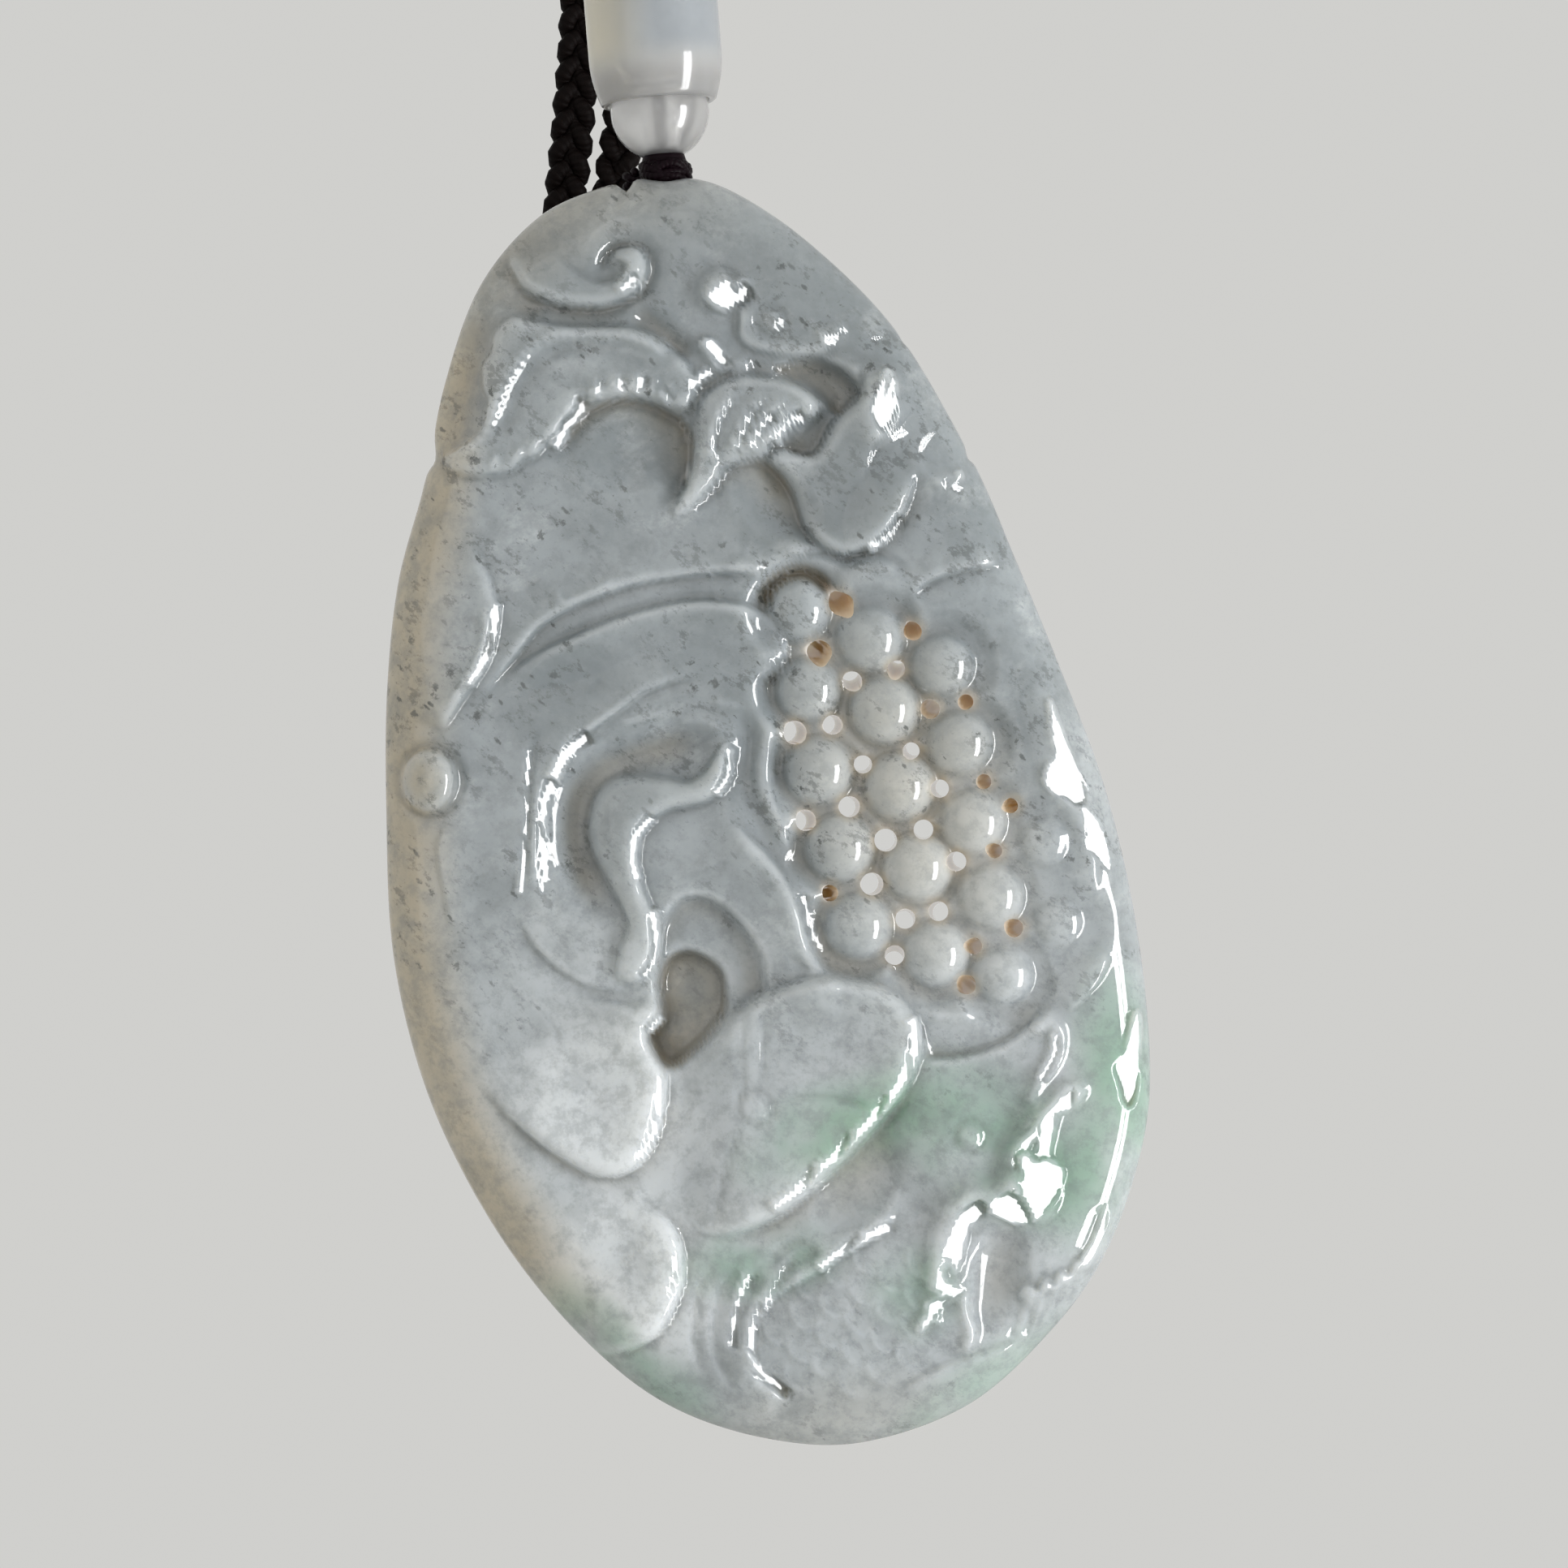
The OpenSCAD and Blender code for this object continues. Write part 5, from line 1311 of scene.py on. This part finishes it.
class StoneSettings(PropertyGroup):
    across_cells: IntProperty(name="Cells across", description="Cells of the face across the stone",
                              default=224, min=60, max=230)
    up_cells: IntProperty(name="Cells up", description="Cells of the face along the stone",
                          default=326, min=90, max=330)
    grey: colour_property("Grey", "Darker grey of the stone", (0.233, 0.262, 0.276))
    pale: colour_property("Pale grey", "Paler grey of the stone", (0.345, 0.377, 0.396))
    smoke: colour_property("Smoke", "Smoky zones", (0.190, 0.212, 0.218))
    milk: colour_property("Milk", "Milky zones", (0.612, 0.642, 0.657))
    green: colour_property("Green", "Green zones", (0.215, 0.360, 0.268))
    # colour of the painted light that shines through thin and sunk places
    tan: colour_property("Tan", "Warm tone of thin and sunk places", (0.50, 0.435, 0.325))
    # colour of the painted light on the walls of the pierced gaps
    gap: colour_property("Gaps", "Warm light tone inside the pierced gaps", (0.80, 0.68, 0.54))
    fleck: colour_property("Flecks", "Dark flecks", (0.055, 0.062, 0.060))


class BeadSettings(PropertyGroup):
    round_bore: number_property("Round bead's bore", "Diameter of its bore", 1.6 * MM)
    clear: colour_property("Clear bead", "Colour of the round bead", (0.93, 0.93, 0.92))
    milky: colour_property("Milky bead", "Colour of the barrel bead", (0.44, 0.47, 0.50))
    # colour of the painted light on the barrel bead's left side
    painted_warm_light: colour_property("Warm side", "Colour of the barrel bead's left side", (0.82, 0.77, 0.64))
    thin: colour_property("Thin end", "Colour of the barrel bead's thin lower end", (0.90, 0.89, 0.87))


class CordSettings(PropertyGroup):
    lobe: number_property("Lobe", "Length of one lobe of the plait along the cord", 1.83 * MM)
    swing: number_property("Swing", "How far a strand swings to each side", 0.94 * MM)
    strand: number_property("Strand", "Width of one strand", 1.16 * MM)
    core: number_property("Core", "Width of the core inside the plait", 1.1 * MM)
    black: colour_property("Black", "Colour of the cord", (0.0030, 0.0016, 0.0014))
    purple: colour_property("Purple black", "Colour of the knot and the thread", (0.0045, 0.0016, 0.0030))


class StageSettings(PropertyGroup):
    distance: number_property("Camera distance", "Distance of the camera from the stone", 0.30)
    window_power: number_property("Window", "Power of the window light", 1.5, "POWER")
    fill_power: number_property("Fill", "Power of the soft front light", 0.5, "POWER")
    backdrop: colour_property("Backdrop", "Colour all round the stage", (0.63, 0.628, 0.61))


# Operators

class PENDANT_OT_stage(Operator):
    """Sets up the camera, the lights, the pale surroundings and the floor"""
    bl_idname = "pendant.stage"
    bl_label = "Set up the stage"

    def execute(self, context):
        look = context.scene.pendant_stage
        target = placed(*np.array((*PHOTO_MIDDLE, BACK_Y - COLUMN_Y))) * MM
        shown = PHOTO_SIDE / PHOTO_PX_PER_MM * MM
        camera_data = bpy.data.cameras.new("camera")
        camera_data.sensor_width = 36.0
        camera_data.lens = camera_data.sensor_width * look.distance / shown
        camera_data.clip_start = 0.01
        camera = bpy.data.objects.new("camera", camera_data)
        upright = Matrix.Rotation(math.radians(90), 4, "X")
        roll = Matrix.Rotation(STONE_TURN, 4, "Y")
        place = (target[0], target[1] - look.distance, target[2])
        camera.matrix_world = Matrix.Translation(place) @ roll @ upright
        context.scene.collection.objects.link(camera)
        context.scene.camera = camera
        # a window of four panes at the right, a little below and before the stone, and a soft light in front
        across = Vector(WINDOW_PLACE).cross((0, 0, 1)).normalized()
        lamps = []
        for k, (i, j) in enumerate(((-1, -1), (1, -1), (-1, 1), (1, 1))):
            place = Vector(WINDOW_PLACE) + across * (PANE_AWAY[0] * i) + Vector((0, 0, PANE_AWAY[1] * j))
            lamps.append((f"window_pane_{k}", tuple(place), PANE_SIZE, look.window_power / 4, (1, 1, 1)))
        lamps.append(("front_light", FRONT_LIGHT_PLACE, FRONT_LIGHT_SIZE, look.fill_power, (1.0, 0.99, 0.97)))
        for name, place, size, power, colour in lamps:
            lamp = bpy.data.lights.new(name, "AREA")
            lamp.shape = "RECTANGLE"
            lamp.size, lamp.size_y = size
            lamp.energy = power
            lamp.color = colour
            lamp_object = bpy.data.objects.new(name, lamp)
            aim = Vector([-part for part in place]).to_track_quat("-Z", "Y").to_matrix()
            lamp_object.matrix_world = Matrix.Translation((target + place).tolist()) @ aim.to_4x4()
            context.scene.collection.objects.link(lamp_object)
        world = bpy.data.worlds.new("surroundings")
        world.use_nodes = True
        background = world.node_tree.nodes["Background"]
        background.inputs["Color"].default_value = rgba(look.backdrop)
        background.inputs["Strength"].default_value = 1.0
        context.scene.world = world
        context.scene.view_settings.view_transform = "Standard"
        corners = np.array([(FLOOR_HALF * i, FLOOR_HALF * j, FLOOR_Z)
                            for i, j in ((-1, -1), (1, -1), (1, 1), (-1, 1))])
        floor = add_mesh("floor", corners, ((0, 1, 2, 3),), smooth_shade=False)
        floor.data.materials.append(plain_material("pale_floor", (0.62, 0.62, 0.60), 0.7))
        return {"FINISHED"}


class PENDANT_OT_cord(Operator):
    """Plaits the neck cord from three strands round a core along its route"""
    bl_idname = "pendant.cord"
    bl_label = "Plait the neck cord"

    def execute(self, context):
        look = context.scene.pendant_cord
        path, along = even_steps(smooth(CORD_ROUTE, steps=10), 0.5)
        # the plait's broad side faces front behind the stone. It is turned by a quarter in the barrel and up
        # to this far from each end, and turns back over the length that follows, in mm
        turned, turning = 70, 90
        straight = ease((along - turned) / turning) * ease((along[-1] - turned - along) / turning)
        quarter = math.pi / 2 * (1 - straight)
        _, side, across = carried_sides(path, (1, 0, 0))
        c, s = np.cos(quarter)[:, None], np.sin(quarter)[:, None]
        broad, thin = side * c + across * s, across * c - side * s
        # each strand swings to both sides and, twice as fast, to front and back, where it gets thinner too
        pitch = 3 * look.lobe / MM
        depth, pinch, flatter = 0.50, 0.12, 0.94
        strands = []
        for k in range(3):
            phase = 2 * np.pi * (along / pitch + k / 3)
            line = (path + broad * (look.swing / MM * np.sin(phase))[:, None]
                    + thin * (depth * np.sin(2 * phase))[:, None])
            half = look.strand / MM / 2
            strands.append(tube_parts(line, (1, 0, 0), half, half * flatter, 10,
                                      thicker=1 - pinch * np.cos(2 * phase)))
        strands.append(tube_parts(path[::2], (1, 0, 0), look.core / MM / 2, look.core / MM / 2, 8))
        cord = join_tubes("plaited_neck_cord", strands)
        dress(cord, "neck_cord",
              thread_material("black_braid", look.black, roughness=0.6, ply=0.42, depth=0.00006, gloss=0.07))
        return {"FINISHED"}


class PENDANT_OT_stone(Operator):
    """Carves the stone, pierces it and drills the hole for its thread"""
    bl_idname = "pendant.stone"
    bl_label = "Carve the stone"

    def execute(self, context):
        look = context.scene.pendant_stone
        relief, heights, flat, sunk, painted_light_and_shade = carved_relief()
        points, quads, fan = stone_mesh(relief, heights, look.across_cells, look.up_cells)
        turned = outward(points, quads)
        if turned is not quads:
            fan = fan[:, ::-1]
        stone = add_mesh("carved_jade_stone", points, turned.tolist() + fan.tolist())
        mesh = stone.data
        # the thread's way goes down from over the top and then out behind the back
        top = np.array((0, COLUMN_Y, STONE_TOP_Z))
        over = top + (0, 0, DRILL_PAST)
        drilled = top - (0, 0, DRILL_DEPTH)
        behind = drilled + (0, 2 * DRILL_PAST, 0)
        bars = list(gap_bars())
        cut(stone, [cylinder(point - way * STONE_THICK, point + way * 2 * STONE_THICK, radius)
                    for point, way, radius in bars])
        cut(stone, [cylinder(drilled - (0, 0, DRILL_RADIUS), over, DRILL_RADIUS)])
        cut(stone, [cylinder(drilled, behind, DRILL_RADIUS)])
        cut(stone, [cylinder(top - (0, 0, SEAT_DEPTH), over, SEAT_RADIUS, 48)])
        co = np.empty(len(mesh.vertices) * 3)
        mesh.vertices.foreach_get("co", co)
        places = co.reshape(-1, 3) / MM
        corners, edges, wall = gap_walls(mesh, places, bars)
        # tints with the painted light from behind; the second attribute carries the gaps' walls for their
        # painted light, the smoke, and the painted light and shade of edges and grooves
        tint, depth = tint_values(relief, sunk, painted_light_and_shade, places)
        depth = np.column_stack((wall, depth[corners]))
        for name, domain, values in (("stone_tint", "POINT", tint), ("stone_smoke_and_painted_light", "CORNER", depth)):
            colour = np.column_stack((values, np.ones(len(values)))).astype(np.float32)
            mesh.color_attributes.new(name, "FLOAT_COLOR", domain).data.foreach_set("color", colour.ravel())
        mesh.polygons.foreach_set("use_smooth", np.ones(len(mesh.polygons), bool))
        mesh.set_sharp_from_angle(angle=SHARP_ANGLE)
        sharpen_cuts(mesh, edges, wall)
        facing = face_directions(relief, heights, flat, places)[corners] * ~wall[:, None]
        mesh.normals_split_custom_set(facing.tolist())
        mesh.update()
        dress(stone, "jade_stone", jade_material(look))
        return {"FINISHED"}


class PENDANT_OT_beads(Operator):
    """Turns the round bead and the barrel bead"""
    bl_idname = "pendant.beads"
    bl_label = "Turn the beads"

    def execute(self, context):
        look = context.scene.pendant_beads
        radius = (BEAD_HIGH[0] - BEAD_LOW[0]) / 2
        bore = look.round_bore / MM / 2
        lip = math.asin(bore / radius)
        lip_lean = 0.05          # angle over which the lip is rounded
        bore_share = 0.96        # how much of the bore's length is straight
        lean = np.linspace(lip + lip_lean, math.pi - lip - lip_lean, 61)
        outer = np.stack((radius * np.sin(lean), BEAD_Z + radius * np.cos(lean)), 1)
        half = bore_share * radius * math.cos(lip)
        inner = np.stack((np.full(9, bore), BEAD_Z - np.linspace(half, -half, 9)), 1)
        bead = lathe("cloudy_round_bead", np.vstack((outer, inner)))
        dress(bead, "round_bead",
              bead_material("cloudy_bead", look.clear, clear=0.8, cloud_scale=300, depth=0.004,
                            inner_roughness=0.26, coat=(1.0, 0.02)))
        # barrel: both ends narrow along a parabola to the mouth, and the lower one is cupped round the bead
        # with some play, from cup_start over the bead's middle. The lips are bevelled by soft and by chamfer
        low, high = BARREL_LOW[2], BARREL_HIGH[2]
        broad = (BARREL_HIGH[0] - BARREL_LOW[0]) / 2
        mouth, narrowing, barrel_bore = 3.8, 3.2, 2.95
        soft, chamfer, play, cup_start = 0.12, 0.15, 0.1, 0.56
        height = np.concatenate((np.linspace(soft, narrowing, 12),
                                 (high - low) - np.linspace(narrowing, soft, 12)))
        from_end = np.minimum(height, high - low - height)
        outside = broad - (broad - mouth) * np.clip(1 - from_end / narrowing, 0, 1) ** 2
        cup = radius + play
        cup_angle = np.linspace(math.asin(cup_start / cup), math.acos(barrel_bore / cup), 10)
        cup_points = np.stack((cup * np.cos(cup_angle), BEAD_Z + cup * np.sin(cup_angle)), 1)
        top_lip = np.array(((mouth - soft, high), (barrel_bore + chamfer, high),
                            (barrel_bore, high - chamfer)))
        bottom_lip = np.array(((cup_points[0, 0] + play, low), (mouth - soft, low)))
        profile = np.vstack((np.stack((outside, low + height), 1), top_lip, cup_points[::-1], bottom_lip))
        barrel = lathe("milky_barrel_bead", profile)
        barrel.data.set_sharp_from_angle(angle=SHARP_ANGLE)
        dress(barrel, "barrel_bead",
              bead_material("milky_bead", look.milky, clear=0.3, cloud_scale=180, depth=0.003,
                            inner_roughness=0.1, coat=(0.15, 0.3),
                            thin=((low + 1.0) * MM, (low + 4.0) * MM, 0.7, look.thin), painted_warm_light=look.painted_warm_light))
        return {"FINISHED"}


class PENDANT_OT_thread(Operator):
    """Winds the knot and twists the thread that carries the stone"""
    bl_idname = "pendant.thread"
    bl_label = "Wind the knot and the thread"

    def execute(self, context):
        look = context.scene.pendant_cord
        # two plies twisted round each other along the route: length of a turn, way off the middle, radius
        twist, off, thick = 2.2, 0.25, 0.29
        path, along = even_steps(smooth(THREAD_ROUTE, steps=10), 0.12)
        _, side, across = carried_sides(path, (1, 0, 0))
        plies = []
        for k in range(2):
            turn = 2 * np.pi * along / twist + math.pi * k
            line = path + off * (side * np.cos(turn)[:, None] + across * np.sin(turn)[:, None])
            plies.append(tube_parts(line, (1, 0, 0), thick, thick, 8))
        thread = join_tubes("twisted_hanging_thread", plies)
        cloth = thread_material("waxed_thread", look.purple, roughness=0.42, ply=0.3, depth=0.00003,
                                gloss=0.05, coat=0.03)
        dress(thread, "hanging_thread", cloth)
        # the knot: level turns that wander, each with its share of the height and how far it stands out, then
        # strands slanting over them, each between two directions with the start and the pace of its wave
        low, high = KNOT_LOW[2], KNOT_HIGH[2]
        radius = (KNOT_HIGH[0] - KNOT_LOW[0]) / 2
        half = 0.33
        turns = []
        angle = np.linspace(0, 2 * np.pi, 90)
        for k, (rise, grow) in enumerate(((0.2, -0.12), (0.42, 0.0), (0.63, -0.04), (0.82, -0.16))):
            wander = 0.15 * np.sin(2 * angle + 2.1 * k) + 0.06 * np.sin(5 * angle + 1.7 * k)
            uneven = 0.06 * np.sin(3 * angle + 1.3 * k) + 0.03 * np.sin(7 * angle + k)
            out = radius - half - 0.06 + grow + uneven
            z = np.clip(low + (high - low) * rise + wander, low + half, high - half)
            line = np.stack((out * np.cos(angle), COLUMN_Y + out * np.sin(angle), z), 1)
            turns.append(tube_parts(line, (0, 0, 1), half, half, 10))
        for first, last, lift, pace in ((-2.9, -1.0, 0.6, 1.9), (-2.0, 0.3, -1.9, 2.2), (0.2, 2.9, 0.4, 1.6)):
            over = np.linspace(first, last, 30)
            out = radius - half * 0.7 + 0.03 * np.sin(5 * over)
            z = low + (high - low) * (0.5 + 0.28 * np.sin(pace * over + lift))
            line = np.stack((out * np.cos(over), COLUMN_Y + out * np.sin(over), z), 1)
            turns.append(tube_parts(line, (0, 0, 1), half * 0.85, half * 0.6, 10))
        core = np.array(((0, 0, low + 0.2), (0, 0, (low + high) / 2), (0, 0, high - 0.2))) + (0, COLUMN_Y, 0)
        turns.append(tube_parts(core, (1, 0, 0), radius - half, radius - half, 24))
        knot = join_tubes("wound_knot", turns)
        dress(knot, "wrapped_knot", cloth)
        return {"FINISHED"}


OPERATORS = (PENDANT_OT_stage, PENDANT_OT_cord, PENDANT_OT_stone, PENDANT_OT_beads, PENDANT_OT_thread)


class PENDANT_PT_panel(Panel):
    """Lists the pendant's pieces in the sidebar of the 3D view"""
    bl_idname = "PENDANT_PT_panel"
    bl_label = "Jade pendant"
    bl_space_type = "VIEW_3D"
    bl_region_type = "UI"
    bl_category = "Pendant"

    def draw(self, context):
        for operator in OPERATORS:
            self.layout.operator(operator.bl_idname)


SETTINGS = {"pendant_stone": StoneSettings, "pendant_beads": BeadSettings, "pendant_cord": CordSettings,
            "pendant_stage": StageSettings}
CLASSES = (*SETTINGS.values(), *OPERATORS, PENDANT_PT_panel)


def register():
    for cls in CLASSES:
        bpy.utils.register_class(cls)
    for name, group in SETTINGS.items():
        setattr(bpy.types.Scene, name, PointerProperty(type=group))


def unregister():
    for name in SETTINGS:
        delattr(bpy.types.Scene, name)
    for cls in reversed(CLASSES):
        bpy.utils.unregister_class(cls)


def main():
    register()
    bpy.ops.pendant.stage()
    bpy.ops.pendant.cord()
    bpy.ops.pendant.stone()
    bpy.ops.pendant.beads()
    bpy.ops.pendant.thread()


if __name__ == "__main__":
    main()
